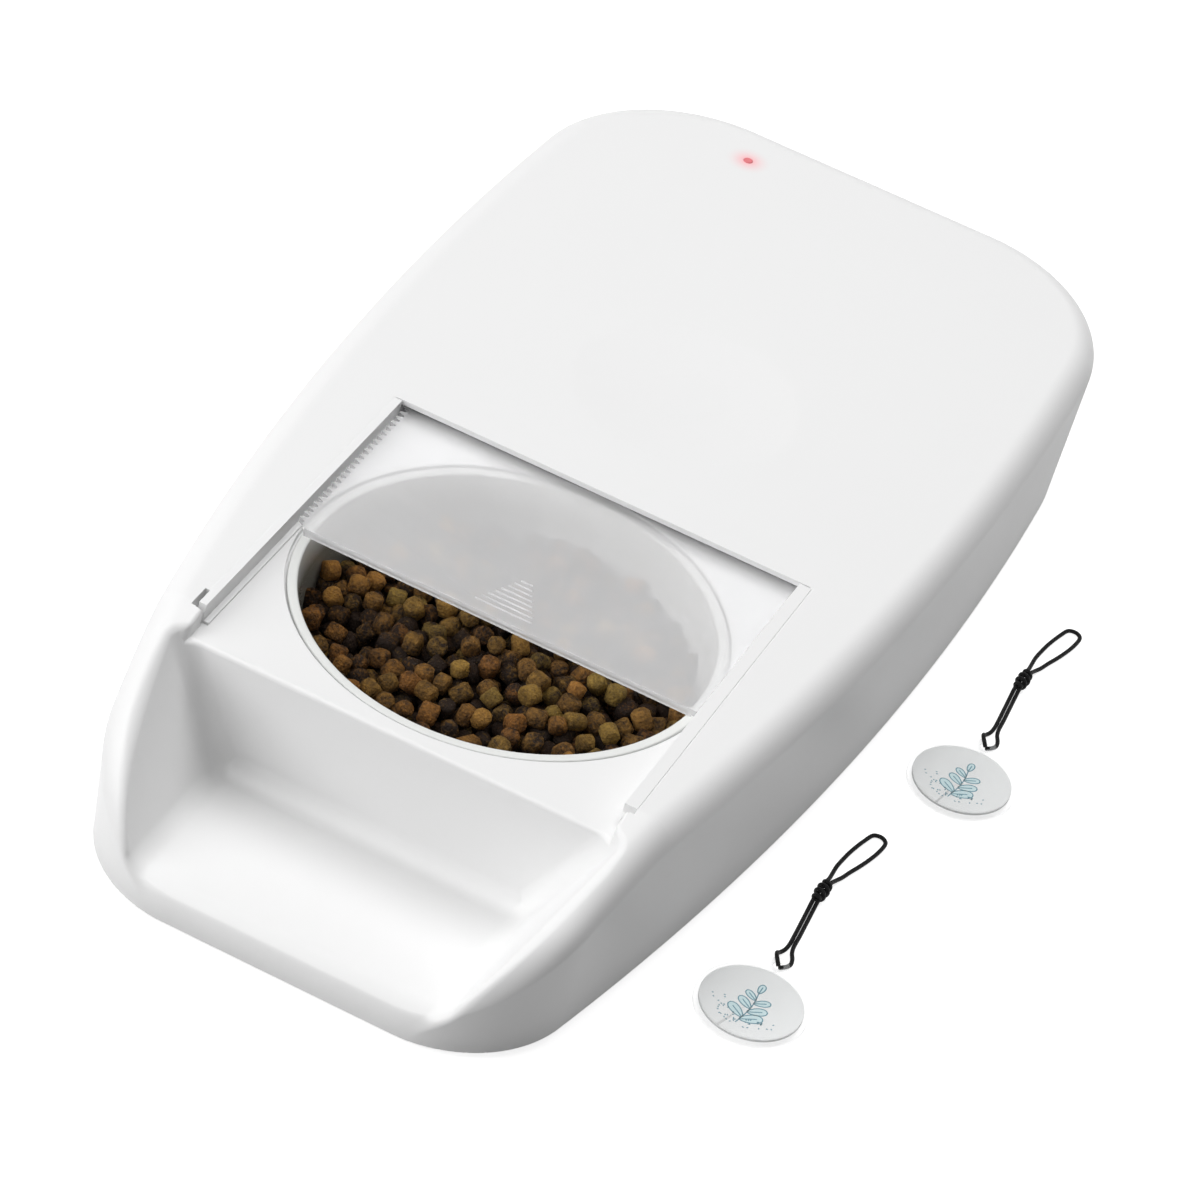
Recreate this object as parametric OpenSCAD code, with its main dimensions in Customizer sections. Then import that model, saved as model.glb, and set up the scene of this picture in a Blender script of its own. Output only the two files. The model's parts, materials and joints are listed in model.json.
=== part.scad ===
/* [Housing] */
// Width of the housing where it is widest
body_w = 214; // [208:1:224]
// Reach of the housing in front of the lid slot
nose_y = 203; // [199:1:210]
// Reach of the housing behind the lid slot
tail_y = 229; // [226:1:240]
// Height of the hood above the housing's lower edge
body_h = 61; // [59:0.5:66]
// Radius of the bow of each long side
side_bow_r = 1240; // [1000:20:1800]
// Distance of the widest place behind the lid slot
widest_y = 85; // [70:5:100]
// Radius of the two front corners in plan
nose_corner_r = 44; // [38:1:50]
// Radius of the two rear corners in plan
tail_corner_r = 58; // [50:1:64]
// Rounding of the upper edge all round
edge_r = 14; // [10:1:16]
// Draw-in of the side walls down to the lower edge
skirt_draft = 2; // [1:0.5:4]
// Chamfer of the lower edge
skirt_chamfer = 1; // [0.5:0.25:1.5]
// Wall thickness of the moulded shell
wall = 2.6; // [2.2:0.1:3]
// Depth of the deck below the hood and the rails
deck_drop = 7; // [6.5:0.1:8]
// Distance from the widest place of the housing in to the deck's edge
rail_w = 35; // [33.5:0.5:38]
// Reach of the deck's front edge in front of the lid slot
deck_front = 141; // [138:0.5:143]
// Reach of the deck shelf behind the lid slot, under the hood
shelf_reach = 24; // [18:1:30]
// Diameter of the shallow round dish in the hood
dish_d = 76; // [60:1:90]
// Depth of the dish
dish_depth = 0.8; // [0.4:0.1:1.2]
// Distance of the dish behind the lid slot
dish_y = 66; // [60:1:80]

/* [Front tray] */
// Height of the tray floor above the housing's lower edge
tray_floor_h = 13; // [11:0.5:18]
// Half width of the flat tray floor
tray_floor_half = 50; // [44:1:54]
// Reach of the tray's sides beyond the deck's edge, at deck level
tray_flare = 3; // [1:0.5:4]
// Rounding between the tray floor and its side walls
tray_side_r = 12; // [6:1:14]
// Rounding between the tray floor and its back wall
tray_back_r = 7; // [4:1:10]
// Rounding of the front lip
lip_r = 9; // [6:1:10]
// Where the side walls begin to fall, in front of the lid slot
fall_start = 132; // [128:1:138]

/* [Bowl] */
// Distance from the bowl's rim to the deck's edge
bowl_margin = 2.6; // [2:0.1:6]
// Gap round the rim in the deck
bowl_gap = 0.8; // [0.5:0.1:1.2]
// Distance of the bowl's centre in front of the lid slot
bowl_front = 64.6; // [62:0.2:66]
// Height of the bowl under its rim
bowl_h = 39; // [34:1:40]
// Thickness of the bowl's wall
bowl_wall = 1.8; // [1.4:0.1:2.4]
// Width of the rim's flange
rim_w = 2; // [1.8:0.1:2.6]
// Thickness of the rim's flange
rim_t = 1.6; // [1.2:0.1:2]
// Depth of the ledge that carries the rim, below the deck
ledge_drop = 2.2; // [2:0.1:3]

/* [Food] */
// Diameter of a pellet
pellet_d = 7; // [5:0.5:8]
// Length of a pellet
pellet_l = 5.6; // [4:0.2:6.4]
// Number of pellets that show on the heap
pellet_count = 120; // [80:5:130]
// Depth of the heap's edge below the bowl's rim
heap_drop = 18; // [14:0.5:22]
// Rise of the heap's middle above its edge
heap_rise = 5; // [2:0.5:8]

/* [Lid and guides] */
// Length of the lid
lid_len = 160; // [158:1:170]
// Thickness of the lid
lid_t = 2.2; // [1.8:0.1:2.4]
// Reach of the lid's front edge in front of the slot, half open
lid_front = 75; // [70:1:90]
// Gap between the lid's edge and its guide strip
lid_side_gap = 0.4; // [0.3:0.05:0.6]
// Height of the lid's underside above the deck
lid_lift = 1.2; // [1.1:0.05:1.4]
// Number of grip ridges on the lid
grip_count = 8; // [5:1:10]
// Spacing of the grip ridges
grip_pitch = 2.4; // [2:0.1:3]
// Length of the longest grip ridge
grip_len = 20; // [14:1:24]
// Width of a grip ridge
grip_w = 0.9; // [0.7:0.1:1.2]
// Height of a grip ridge
grip_h = 0.4; // [0.2:0.05:0.45]
// Thickness of a guide strip
strip_t = 2.6; // [2.2:0.1:3]
// Reach of the guide strips in front of the slot
strip_front = 132; // [128:1:134]
// Reach of the guide strips behind the slot
strip_rear = 160; // [155:1:175]
// Reach of the right guide's lip over the lid's edge
lip_w = 1.6; // [1.2:0.1:2]
// Width of the ledge under the lid's edge
ledge_w = 1.8; // [1.4:0.1:2.2]
// Height of that ledge above the deck
ledge_h = 0.9; // [0.7:0.05:0.95]

/* [Drive] */
// Module of the rack and its pinion
rack_module = 1; // [0.95:0.05:1.05]
// Teeth of the rack pinion
pinion_teeth = 18; // [17:1:20]
// Distance of the pinion behind the lid slot
pinion_y = 16; // [14:1:20]
// Module of the reduction gears
gear_module = 0.8; // [0.75:0.05:0.8]
// Teeth of the spur gear
spur_teeth = 40; // [36:1:40]
// Teeth of the motor pinion
motor_teeth = 16; // [16:1:18]
// Free play at the pitch line of each pair of gears
gear_play = 0.16; // [0.12:0.02:0.24]
// Thickness of the rack pinion
pinion_t = 3; // [2.6:0.1:3.1]
// Thickness of the spur gear
spur_t = 4; // [3:0.5:5]
// Diameter of the pinion's shaft
shaft_d = 3; // [2.5:0.1:3.5]
// Outer diameter of the bushes
bush_d = 6; // [5:0.5:7]
// Diameter of the motor's can
motor_d = 24; // [20:1:25]
// Height of the motor's gearbox
gearbox_h = 14; // [12:1:16]
// Height of the motor's can
can_h = 15; // [12:1:15]
// Diameter of the motor's output shaft
motor_shaft_d = 4; // [3:0.5:5]
// Thickness of the two carrier plates
carrier_t = 2; // [1.6:0.2:2.4]
// Height of the gear space between the carrier plates
carrier_gap = 10; // [9:0.5:10]

/* [Electronics] */
// Width of the circuit board
board_w = 120; // [112:2:130]
// Length of the circuit board
board_l = 96; // [90:1:100]
// Thickness of the circuit board
board_t = 1.6; // [1.2:0.2:2]
// Space between the battery box and the board
board_lift = 3; // [2.5:0.5:4]
// Diameter of each push button
button_d = 10; // [8:0.5:11]
// Distance between the two push buttons
button_pitch = 24; // [22:1:30]
// Travel of a push button
button_travel = 1; // [0.6:0.1:1.2]
// Height of a push button above the rear face
button_proud = 1; // [0.6:0.1:1.6]
// Diameter of the light pipe
pipe_d = 3.2; // [2.4:0.2:4]
// Sideways place of the light pipe
pipe_x = -40; // [-48:1:-30]
// Distance of the light pipe in front of the rear face
pipe_inset = 24; // [22:1:28]
// Height of the antenna coil
coil_h = 11; // [8:1:12]
// Thickness of the antenna coil
coil_t = 1.8; // [1.6:0.1:2]

/* [Batteries] */
// Diameter of a cell
cell_d = 26.2; // [25:0.1:26.4]
// Length of a cell
cell_l = 50; // [48:0.5:51]
// Number of cells side by side
cell_count = 4; // [3:1:4]
// Clearance round a cell
cell_gap = 0.25; // [0.2:0.05:0.4]
// Thickness of the battery door
door_t = 2.4; // [2:0.1:2.6]
// Clearance round the door
door_gap = 0.3; // [0.25:0.05:0.5]
// Diameter of the door's hinge pins
hinge_pin_d = 1.2; // [1:0.1:1.3]

/* [Base] */
// Thickness of the base plate
base_t = 2.4; // [2:0.1:3]
// Clearance round the base plate
base_gap = 0.3; // [0.25:0.05:0.6]
// Height of the rubber feet below the base plate
foot_h = 2; // [1.5:0.1:3]
// Diameter of the rubber feet
foot_d = 16; // [12:1:18]
// Diameter of the screws' shanks
screw_d = 2.8; // [2.4:0.1:3]
// Diameter of the screws' heads
screw_head_d = 5.6; // [5:0.2:6]

/* [Tags] */
// Diameter of a tag
tag_d = 36; // [30:1:40]
// Thickness of a tag's case
tag_t = 2.6; // [2.4:0.1:3]
// Height of the clear dome on a tag
dome_h = 1.4; // [1:0.1:2]
// Width of the clear rim round the dome
tag_rim = 1.6; // [1.2:0.1:2]
// Diameter of the lug's hole
lug_hole_d = 3.6; // [3.2:0.1:4]
// Diameter of the lanyard's cord
cord_d = 1.4; // [1.2:0.1:1.6]
// Place of the first tag beside the housing
tag_a_pos = [135, 20]; // [-200:1:200]
// Place of the second tag beside the housing
tag_b_pos = [122, -120]; // [-200:1:200]

/* [Hidden] */
$fn = 48;

white = [0.93, 0.93, 0.93];
pale = [0.88, 0.88, 0.87];
clear = [0.85, 0.89, 0.9, 0.4];
dark = [0.12, 0.12, 0.13];
steel = [0.7, 0.71, 0.73];
brass = [0.8, 0.65, 0.3];
nylon = [0.9, 0.88, 0.8];
green = [0.1, 0.35, 0.2];

// Levels above the floor
skirt_z = foot_h;
top_z = skirt_z + body_h;
deck_z = top_z - deck_drop;
hood_under = top_z - wall;
tray_z = skirt_z + tray_floor_h;
base_top = skirt_z + base_t;
lid_z = deck_z + lid_lift;
play = 0.3;

// Widths that follow the housing's width
deck_half_w = body_w / 2 - rail_w;
bowl_d = 2 * (deck_half_w - bowl_margin);
tray_top_half = deck_half_w + tray_flare;

// Origin of the row: middle of the box round the housing and the tags
frame_x = (tag_a_pos[0] + tag_d / 2 - body_w / 2) / 2;
frame_y = (tail_y + button_proud - nose_y) / 2;

module place() {
    translate([-frame_x, -frame_y, 0])
        children();
}

// Plan outline: two bowed sides with arcs at the corners, inset by d
side_cx = body_w / 2 - side_bow_r;
nose_cy = nose_corner_r - nose_y;
nose_cx = side_cx + sqrt(pow(side_bow_r - nose_corner_r, 2) - pow(nose_cy - widest_y, 2));
nose_a = atan2(nose_cy - widest_y, nose_cx - side_cx);
tail_cy = tail_y - tail_corner_r;
tail_cx = side_cx + sqrt(pow(side_bow_r - tail_corner_r, 2) - pow(tail_cy - widest_y, 2));
tail_a = atan2(tail_cy - widest_y, tail_cx - side_cx);
nose_steps = 10;
side_steps = 20;
tail_steps = 10;
side_crowding = 1.6;

function arc(cx, cy, r, a0, a1, n) =
    [for (i = [0:n]) let (a = a0 + (a1 - a0) * i / n) [cx + r * cos(a), cy + r * sin(a)]];
function side_arc(d) =
    [for (i = [1:side_steps - 1])
        let (a = nose_a + (tail_a - nose_a) * pow(i / side_steps, side_crowding))
        [side_cx + (side_bow_r - d) * cos(a), widest_y + (side_bow_r - d) * sin(a)]];
function half_outline(d) = concat(
    arc(nose_cx, nose_cy, nose_corner_r - d, -90, nose_a, nose_steps),
    side_arc(d),
    arc(tail_cx, tail_cy, tail_corner_r - d, tail_a, 90, tail_steps));
half_count = nose_steps + side_steps + tail_steps + 1;
function mirrored(half) = [for (i = [len(half) - 1:-1:0]) [-half[i][0], half[i][1]]];
function outline(d) = concat(half_outline(d), mirrored(half_outline(d)));

// Height of the upper surface: level, then falling to the lip in front
fall_power = 1.3;
fall_root = 0.62;
function fall(y) = min(1, max(0, (-fall_start - y) / (nose_y - fall_start)));
function surface_z(y) = tray_z + (top_z - tray_z) * pow(1 - pow(fall(y), fall_power), fall_root);
function edge_radius(y) = min(edge_r, 0.55 * (surface_z(y) - skirt_z));

// One level of the shell: a point for each point of the outline
fillet_steps = 6;
function fillet_point(p, base_y, inset, turn) =
    let (r = edge_radius(base_y) - inset)
    [p[0], p[1], surface_z(p[1]) - inset - r * (1 - sin(turn))];
function fillet_level(inset, turn) =
    let (base = half_outline(0))
    let (half = [for (i = [0:half_count - 1])
        let (r = edge_radius(base[i][1]) - inset)
        let (p = half_outline(inset + r * (1 - cos(turn)))[i])
        fillet_point(p, base[i][1], inset, turn)])
    concat(half, [for (i = [half_count - 1:-1:0]) [-half[i][0], half[i][1], half[i][2]]]);
function flat_level(d, z) = [for (p = outline(d)) [p[0], p[1], z]];

// Closed shell of the housing's outer form, or of its cavity with inset = wall
module shell_form(inset, low_z, foot) {
    levels = concat(
        [flat_level(inset + skirt_draft + foot, low_z)],
        [flat_level(inset + skirt_draft, skirt_z + skirt_chamfer)],
        [for (k = [0:fillet_steps]) fillet_level(inset, 90 * k / fillet_steps)]);
    ring = 2 * half_count;
    last = len(levels) - 1;
    sides = [for (k = [0:last - 1], i = [0:ring - 1])
        let (j = (i + 1) % ring)
        [k * ring + i, (k + 1) * ring + i, (k + 1) * ring + j, k * ring + j]];
    roof = [for (i = [0:half_count - 2])
        [last * ring + i, last * ring + ring - 1 - i, last * ring + ring - 2 - i, last * ring + i + 1]];
    polyhedron(
        points = [for (level = levels, p = level) p],
        faces = concat([[for (i = [0:ring - 1]) i]], sides, roof),
        convexity = 8);
}

// Front tray: its profile seen from the front, grown by g for the moulding round it
tray_lean = atan2(tray_top_half - tray_floor_half, deck_z - tray_z);
tray_high = top_z + 20;
function tray_half(z, g) = tray_floor_half + (z - tray_z) * tan(tray_lean) + g / cos(tray_lean);
module tray_front_profile(g) {
    r = tray_side_r - g;
    low = tray_z - g;
    corner = tray_half(low, g);
    run = r * tan((90 - tray_lean) / 2);
    right = concat(
        arc(corner - run, low + r, r, -90, -tray_lean, 6),
        [[tray_half(tray_high, g), tray_high]]);
    polygon(concat(right, mirrored(right)));
}

// Front tray seen from the side: back wall, rounded foot, floor and falling lip
module tray_side_profile(g) {
    r = tray_back_r - g;
    low = tray_z - g;
    back = g - deck_front;
    lip_cy = lip_r - nose_y;
    polygon(concat(
        [[-nose_y - 20, tray_high], [-nose_y - 20, low - lip_r]],
        [for (p = arc(lip_cy, tray_z - lip_r, lip_r - g, 180, 90, 6)) [p[0], p[1]]],
        [for (p = arc(back - r, low + r, r, -90, 0, 4)) [p[0], p[1]]],
        [[back, tray_high]]));
}

module along_y(y0, y1) {
    translate([0, y1, 0])
        rotate([90, 0, 0])
            linear_extrude(y1 - y0)
                children();
}

module along_x(x0, x1) {
    translate([x0, 0, 0])
        rotate([90, 0, 90])
            linear_extrude(x1 - x0)
                children();
}

module block(x, y, z) {
    translate([x[0], y[0], z[0]])
        cube([x[1] - x[0], y[1] - y[0], z[1] - z[0]]);
}

module rod(x, y, z, d) {
    translate([x, y, z[0]])
        cylinder(d = d, h = z[1] - z[0]);
}

module tray_space(g) {
    intersection() {
        along_y(-nose_y - 20, g - deck_front)
            tray_front_profile(g);
        along_x(-body_w / 2, body_w / 2)
            tray_side_profile(g);
    }
}

strip_half = deck_half_w + strip_t;
recess_end = strip_front + 2;

// What is open above the deck and the tray
module recess() {
    tray_space(0);
    block([-strip_half, strip_half], [-recess_end, 0], [deck_z, tray_high]);
    block([-deck_half_w, deck_half_w], [-deck_front - 1, 1 - recess_end], [deck_z, tray_high]);
    slot_mouth();
    strip_pockets();
}

// Slot under the hood, with its front edge thinned from below
mouth_h = 1.2;
mouth_l = 1.6;
module slot_mouth() {
    roof = hood_under - 0.2;
    along_x(-strip_half, strip_half)
        polygon([[-1, deck_z], [wall + 1, deck_z], [wall + 1, roof], [mouth_l, roof], [0, roof + mouth_h],
            [-1, roof + mouth_h]]);
}

// Small pockets at the front ends of the guide strips
pocket_w = 1.6;
pocket_l = 9;
module strip_pockets() {
    for (side = [-1, 1])
        block([side * strip_half - (side < 0 ? pocket_w : 0), side * strip_half + (side < 0 ? 0 : pocket_w)],
            [-recess_end, pocket_l - recess_end], [deck_z + 1, tray_high]);
}

// The moulding that carries the deck and the tray
module recess_moulding() {
    tray_space(wall);
    block([-strip_half - wall - pocket_w, strip_half + wall + pocket_w], [-deck_front - 2, wall],
        [deck_z - wall, tray_high]);
    block([-strip_half - wall, strip_half + wall], [0, shelf_reach + wall], [deck_z - wall, deck_z]);
}

// Bowl well: a cup under the deck hole, with a ledge for the rim and a rib for the coil
hole_r = bowl_d / 2 + bowl_gap;
ledge_r = bowl_d / 2 - rim_w + 0.6;
ledge_z = deck_z - ledge_drop;
well_wall = 1.8;
well_r = ledge_r + well_wall;
bowl_bottom = ledge_z + rim_t - bowl_h;
well_floor = bowl_bottom - play;
coil_rib_w = 2.2;
coil_rib_z = ledge_z - 18;
module at_bowl() {
    translate([0, -bowl_front, 0])
        children();
}
module bowl_well() {
    at_bowl()
        rotate_extrude($fn = 120)
            polygon([[0, well_floor - well_wall], [well_r, well_floor - well_wall],
                [well_r, coil_rib_z - 2], [well_r + coil_rib_w, coil_rib_z - 2],
                [well_r + coil_rib_w, coil_rib_z], [well_r, coil_rib_z],
                [well_r, ledge_z - wall], [hole_r + wall, ledge_z - wall],
                [hole_r + wall, deck_z - wall / 2], [0, deck_z - wall / 2]]);
}
module bowl_hole() {
    at_bowl()
        rotate_extrude($fn = 120)
            polygon([[0, well_floor], [ledge_r, well_floor], [ledge_r, ledge_z],
                [hole_r, ledge_z], [hole_r, deck_z + 0.01], [0, deck_z + 0.01]]);
}

// Pillars that take the housing screws
pillar_d = 8;
pillar_edge = 21;
front_pillar = [tray_floor_half - 12, 31 - nose_y];
side_pillar = [body_w / 2 - pillar_edge, -40];
rear_pillar = [body_w / 2 - pillar_edge, tail_y - 69];
screw_depth = 7;
pillar_places = [for (p = [front_pillar, side_pillar, rear_pillar], s = [-1, 1]) [s * p[0], p[1]]];
module pillars() {
    for (p = pillar_places)
        rod(p[0], p[1], [base_top, p[1] < -deck_front ? tray_z - wall / 2 : top_z - wall / 2], pillar_d);
}

// Bosses under the hood that carry the guide strips
guide_boss_d = 7;
guide_boss_x = strip_half + 6;
guide_boss_y = [62, 142];
guide_tab_t = 2;
guide_tab_z = hood_under - 5;
module guide_bosses() {
    for (s = [-1, 1], y = guide_boss_y)
        rod(s * guide_boss_x, y, [guide_tab_z, top_z - wall / 2], guide_boss_d);
}

// Levels of the battery box and of the board above it
box_floor = 1.6;
box_roof = 1.3;
cell_hole_d = cell_d + 2 * cell_gap;
cell_pitch = cell_hole_d + 0.9;
cell_z = base_top + box_floor + cell_hole_d / 2;
box_top = cell_z + cell_hole_d / 2 + box_roof;
bay_half = cell_pitch * (cell_count - 1) / 2 + cell_hole_d / 2;
board_z = box_top + board_lift;

// Rear face at a level, where the wall leans in towards the skirt
function rear_face(z) = tail_y - skirt_draft * (1 - (z - skirt_z) / (body_h - edge_r));

// Battery door opening in the rear wall
door_low = cell_z - cell_hole_d / 2 - 0.2;
door_high = cell_z + cell_hole_d / 2 + 0.3;
door_face = rear_face(door_low) - 0.1;
door_inner = door_face - door_t;
module door_opening() {
    block([-bay_half - play, bay_half + play], [tail_y - 20, tail_y + 5], [door_low, door_high]);
}

// Push buttons in the rear wall
button_z = board_z + board_t + 3.4;
button_boss_d = button_d + 5;
button_gap = 0.1;
button_boss_y = tail_y - 9.3;
button_x = [-button_pitch / 2, button_pitch / 2];
module rear_rod(x, z, y, d) {
    translate([x, y[1], z])
        rotate([90, 0, 0])
            cylinder(d = d, h = y[1] - y[0]);
}
module button_bosses() {
    for (x = button_x)
        rear_rod(x, button_z, [button_boss_y, tail_y - wall / 2 - 0.5], button_boss_d);
}
module button_holes() {
    for (x = button_x)
        rear_rod(x, button_z, [button_boss_y - 1, tail_y + 5], button_d + 2 * button_gap);
}

pipe_y = tail_y - pipe_inset;
pipe_gap = 0.1;
module dish() {
    steps = 6;
    translate([0, dish_y, top_z])
        rotate_extrude($fn = 96)
            polygon(concat(
                [for (i = [0:steps])
                    [dish_d / 2 * i / steps, -dish_depth * (1 - pow(i / steps, 2))]],
                [[0, 0.01]]));
}

module upper_housing() {
    color(white)
        place()
            difference() {
                union() {
                    difference() {
                        shell_form(0, skirt_z, skirt_chamfer);
                        difference() {
                            shell_form(wall, skirt_z - 1, 0);
                            recess_moulding();
                        }
                    }
                    bowl_well();
                    pillars();
                    guide_bosses();
                    button_bosses();
                }
                recess();
                bowl_hole();
                door_opening();
                button_holes();
                dish();
                rod(pipe_x, pipe_y, [hood_under - 1, top_z + 1], pipe_d + 2 * pipe_gap);
                for (p = pillar_places)
                    rod(p[0], p[1], [base_top - 1, skirt_z + 9.5], screw_d + 0.04);
                for (s = [-1, 1], y = guide_boss_y)
                    rod(s * guide_boss_x, y, [guide_tab_z - 1, hood_under - 0.4], screw_d + 0.04);
                rod(-rack_axis, pinion_y, [deck_z - wall - 1, deck_z + 1], hub_d + 4);
            }
}

// Rack and gears
pitch = PI * rack_module;
rack_tip = deck_half_w - lid_side_gap;
rack_pitch_x = rack_tip - rack_module;
pinion_r = rack_module * pinion_teeth / 2;
rack_axis = rack_pitch_x + pinion_r + gear_play / 4;
spur_r = gear_module * spur_teeth / 2;
motor_gear_r = gear_module * motor_teeth / 2;
motor_y = pinion_y + spur_r + motor_gear_r + gear_play / 4;
pinion_z = lid_z - play;
hub_d = 5;

function inv(a) = tan(a) * 180 / PI - a;
function involute_half(m, teeth, play, r) =
    let (rp = m * teeth / 2)
    let (rb = rp * cos(20))
    let (a = acos(min(1, rb / max(r, rb))))
    (PI * m / 2 - play / 2) / (2 * rp) * 180 / PI + inv(20) - inv(a);
function gear_points(m, teeth, play) =
    let (rp = m * teeth / 2)
    let (rr = rp - 1.25 * m)
    let (ra = rp + m)
    let (rs = max(rr + 0.05, rp * cos(20)))
    [for (t = [0:teeth - 1], k = [0:7])
        let (level = k < 4 ? k : 7 - k)
        let (r = level == 0 ? rr : rs + (ra - rs) * (level - 1) / 2)
        let (half = involute_half(m, teeth, play, r))
        let (a = 360 * t / teeth + (k < 4 ? -half : half))
        [r * cos(a), r * sin(a)]];
module gear(m, teeth, thickness, bore_d) {
    linear_extrude(thickness)
        difference() {
            polygon(gear_points(m, teeth, gear_play));
            circle(d = bore_d);
        }
}

carrier_low = skirt_z + 34;
carrier_high = carrier_low + carrier_t + carrier_gap;
spur_z = carrier_low + carrier_t + 2;
shaft_play = 0.04;

module rack_pinion() {
    color(nylon)
        place()
            translate([-rack_axis, pinion_y, 0]) {
                translate([0, 0, pinion_z])
                    gear(rack_module, pinion_teeth, pinion_t, shaft_d);
                difference() {
                    rod(0, 0, [carrier_high + carrier_t + play, pinion_z], hub_d);
                    rod(0, 0, [carrier_high, pinion_z + 1], shaft_d);
                }
            }
}

module spur_gear() {
    color(nylon)
        place()
            translate([-rack_axis, pinion_y, spur_z])
                rotate(90) {
                    difference() {
                        gear(gear_module, spur_teeth, spur_t, shaft_d);
                        for (k = [0:5])
                            rotate(60 * k)
                                translate([spur_r * 0.56, 0, -1])
                                    cylinder(d = spur_r * 0.4, h = spur_t + 2);
                    }
                    difference() {
                        rod(0, 0, [spur_t, spur_t + 2.6], hub_d + 1);
                        rod(0, 0, [spur_t - 1, spur_t + 3], shaft_d);
                    }
                }
}

module pinion_shaft() {
    color(steel)
        place()
            rod(-rack_axis, pinion_y, [carrier_low + 0.2, pinion_z + pinion_t], shaft_d);
}

module motor_pinion() {
    color(brass)
        place()
            translate([-rack_axis, motor_y, spur_z - 0.5])
                rotate(270 + 180 / motor_teeth)
                    gear(gear_module, motor_teeth, spur_t + 1, motor_shaft_d);
}

module motor_shaft() {
    color(steel)
        place()
            rod(-rack_axis, motor_y, [carrier_low - 6, spur_z + spur_t + 1], motor_shaft_d);
}

module motor_gearbox() {
    color(steel)
        place()
            difference() {
                union() {
                    rod(-rack_axis, motor_y, [carrier_low - gearbox_h, carrier_low], motor_d + 1);
                    rod(-rack_axis, motor_y, [carrier_low - 1, carrier_low + carrier_t - 0.4], 8);
                }
                rod(-rack_axis, motor_y, [carrier_low - 6.3, carrier_low + 3],
                    motor_shaft_d + 2 * shaft_play);
            }
}

module motor() {
    color(steel)
        place() {
            rod(-rack_axis, motor_y, [carrier_low - gearbox_h - can_h, carrier_low - gearbox_h], motor_d);
            rod(-rack_axis, motor_y, [carrier_low - gearbox_h - can_h - 1.6,
                carrier_low - gearbox_h - can_h], 8);
            for (s = [-1, 1])
                block([-rack_axis + s * 6 - 1.2, -rack_axis + s * 6 + 1.2], [motor_y - 0.4, motor_y + 0.4],
                    [carrier_low - gearbox_h - can_h - 1.5, carrier_low - gearbox_h - can_h]);
        }
}

carrier_half = 19;
carrier_front = pinion_y - 25;
carrier_rear = motor_y + 14;
carrier_pillar_d = 6.4;
carrier_screw_x = [for (s = [-1, 1]) s * (carrier_half - carrier_pillar_d / 2) - rack_axis];
carrier_screw_y = [carrier_front + 4, carrier_rear - 4];
module gear_carrier() {
    color(pale)
        place()
            difference() {
                union() {
                    for (z = [carrier_low, carrier_high])
                        block([-rack_axis - carrier_half, -rack_axis + carrier_half],
                            [carrier_front, carrier_rear], [z, z + carrier_t]);
                    for (x = carrier_screw_x, y = carrier_screw_y)
                        rod(x, y, [carrier_low, carrier_high + carrier_t], carrier_pillar_d);
                }
                for (x = carrier_screw_x, y = carrier_screw_y)
                    rod(x, y, [carrier_low - 1, carrier_high + carrier_t + 1], screw_d + 0.2);
                rod(-rack_axis, motor_y, [carrier_low - 1, carrier_low + carrier_t + 1], 8.1);
                for (z = [carrier_low, carrier_high])
                    rod(-rack_axis, pinion_y, [z - 1, z + carrier_t + 1], bush_d);
            }
}

module shaft_bushes() {
    color(brass)
        place()
            for (z = [carrier_low, carrier_high])
                difference() {
                    rod(-rack_axis, pinion_y, [z, z + carrier_t], bush_d);
                    rod(-rack_axis, pinion_y, [z - 1, z + carrier_t + 1], shaft_d + 2 * shaft_play);
                }
}

// A pan-head screw, head down, with a cross slot
module screw(length) {
    head_h = 1.6;
    difference() {
        union() {
            translate([0, 0, -head_h])
                cylinder(d1 = screw_head_d - 1.2, d2 = screw_head_d, h = head_h);
            cylinder(d = screw_d, h = length);
        }
        for (a = [0, 90])
            rotate(a)
                block([-1.5, 1.5], [-0.3, 0.3], [-head_h - 1, -0.7]);
    }
}

module carrier_screws() {
    color(steel)
        place()
            for (x = carrier_screw_x, y = carrier_screw_y)
                translate([x, y, carrier_high + carrier_t])
                    rotate([180, 0, 0])
                        screw(carrier_gap + 2 * carrier_t + 6);
}

// Sliding lid: a clear sheet with the rack along its left edge
function rack_points() =
    let (first = ceil((-lid_front + 1.5 - pinion_y) / pitch))
    let (last = floor((lid_len - lid_front - 1.5 - pinion_y) / pitch) - 1)
    let (root = rack_tip - 2.25 * rack_module)
    let (half_pitch = pitch / 4 - gear_play / 4)
    let (lean = tan(20))
    [for (t = [first:last], k = [0:3])
        let (mid = pinion_y + (t + 0.5) * pitch)
        let (low = half_pitch + lean * 1.25 * rack_module)
        let (high = half_pitch - lean * rack_module)
        let (p = [[root, -low], [rack_tip, -high], [rack_tip, high], [root, low]][k])
        [-p[0], mid + p[1]]];
function lid_outline() =
    let (rear = lid_len - lid_front)
    let (rack = rack_points())
    concat(
        [[rack_tip, -lid_front + 2], [rack_tip, rear - 1], [rack_tip - 1, rear], [1 - rack_tip, rear]],
        [for (i = [len(rack) - 1:-1:0]) rack[i]],
        [[2.25 * rack_module - rack_tip, -lid_front + 2]],
        [[4 - rack_tip, -lid_front], [rack_tip - 2, -lid_front]]);

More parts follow.
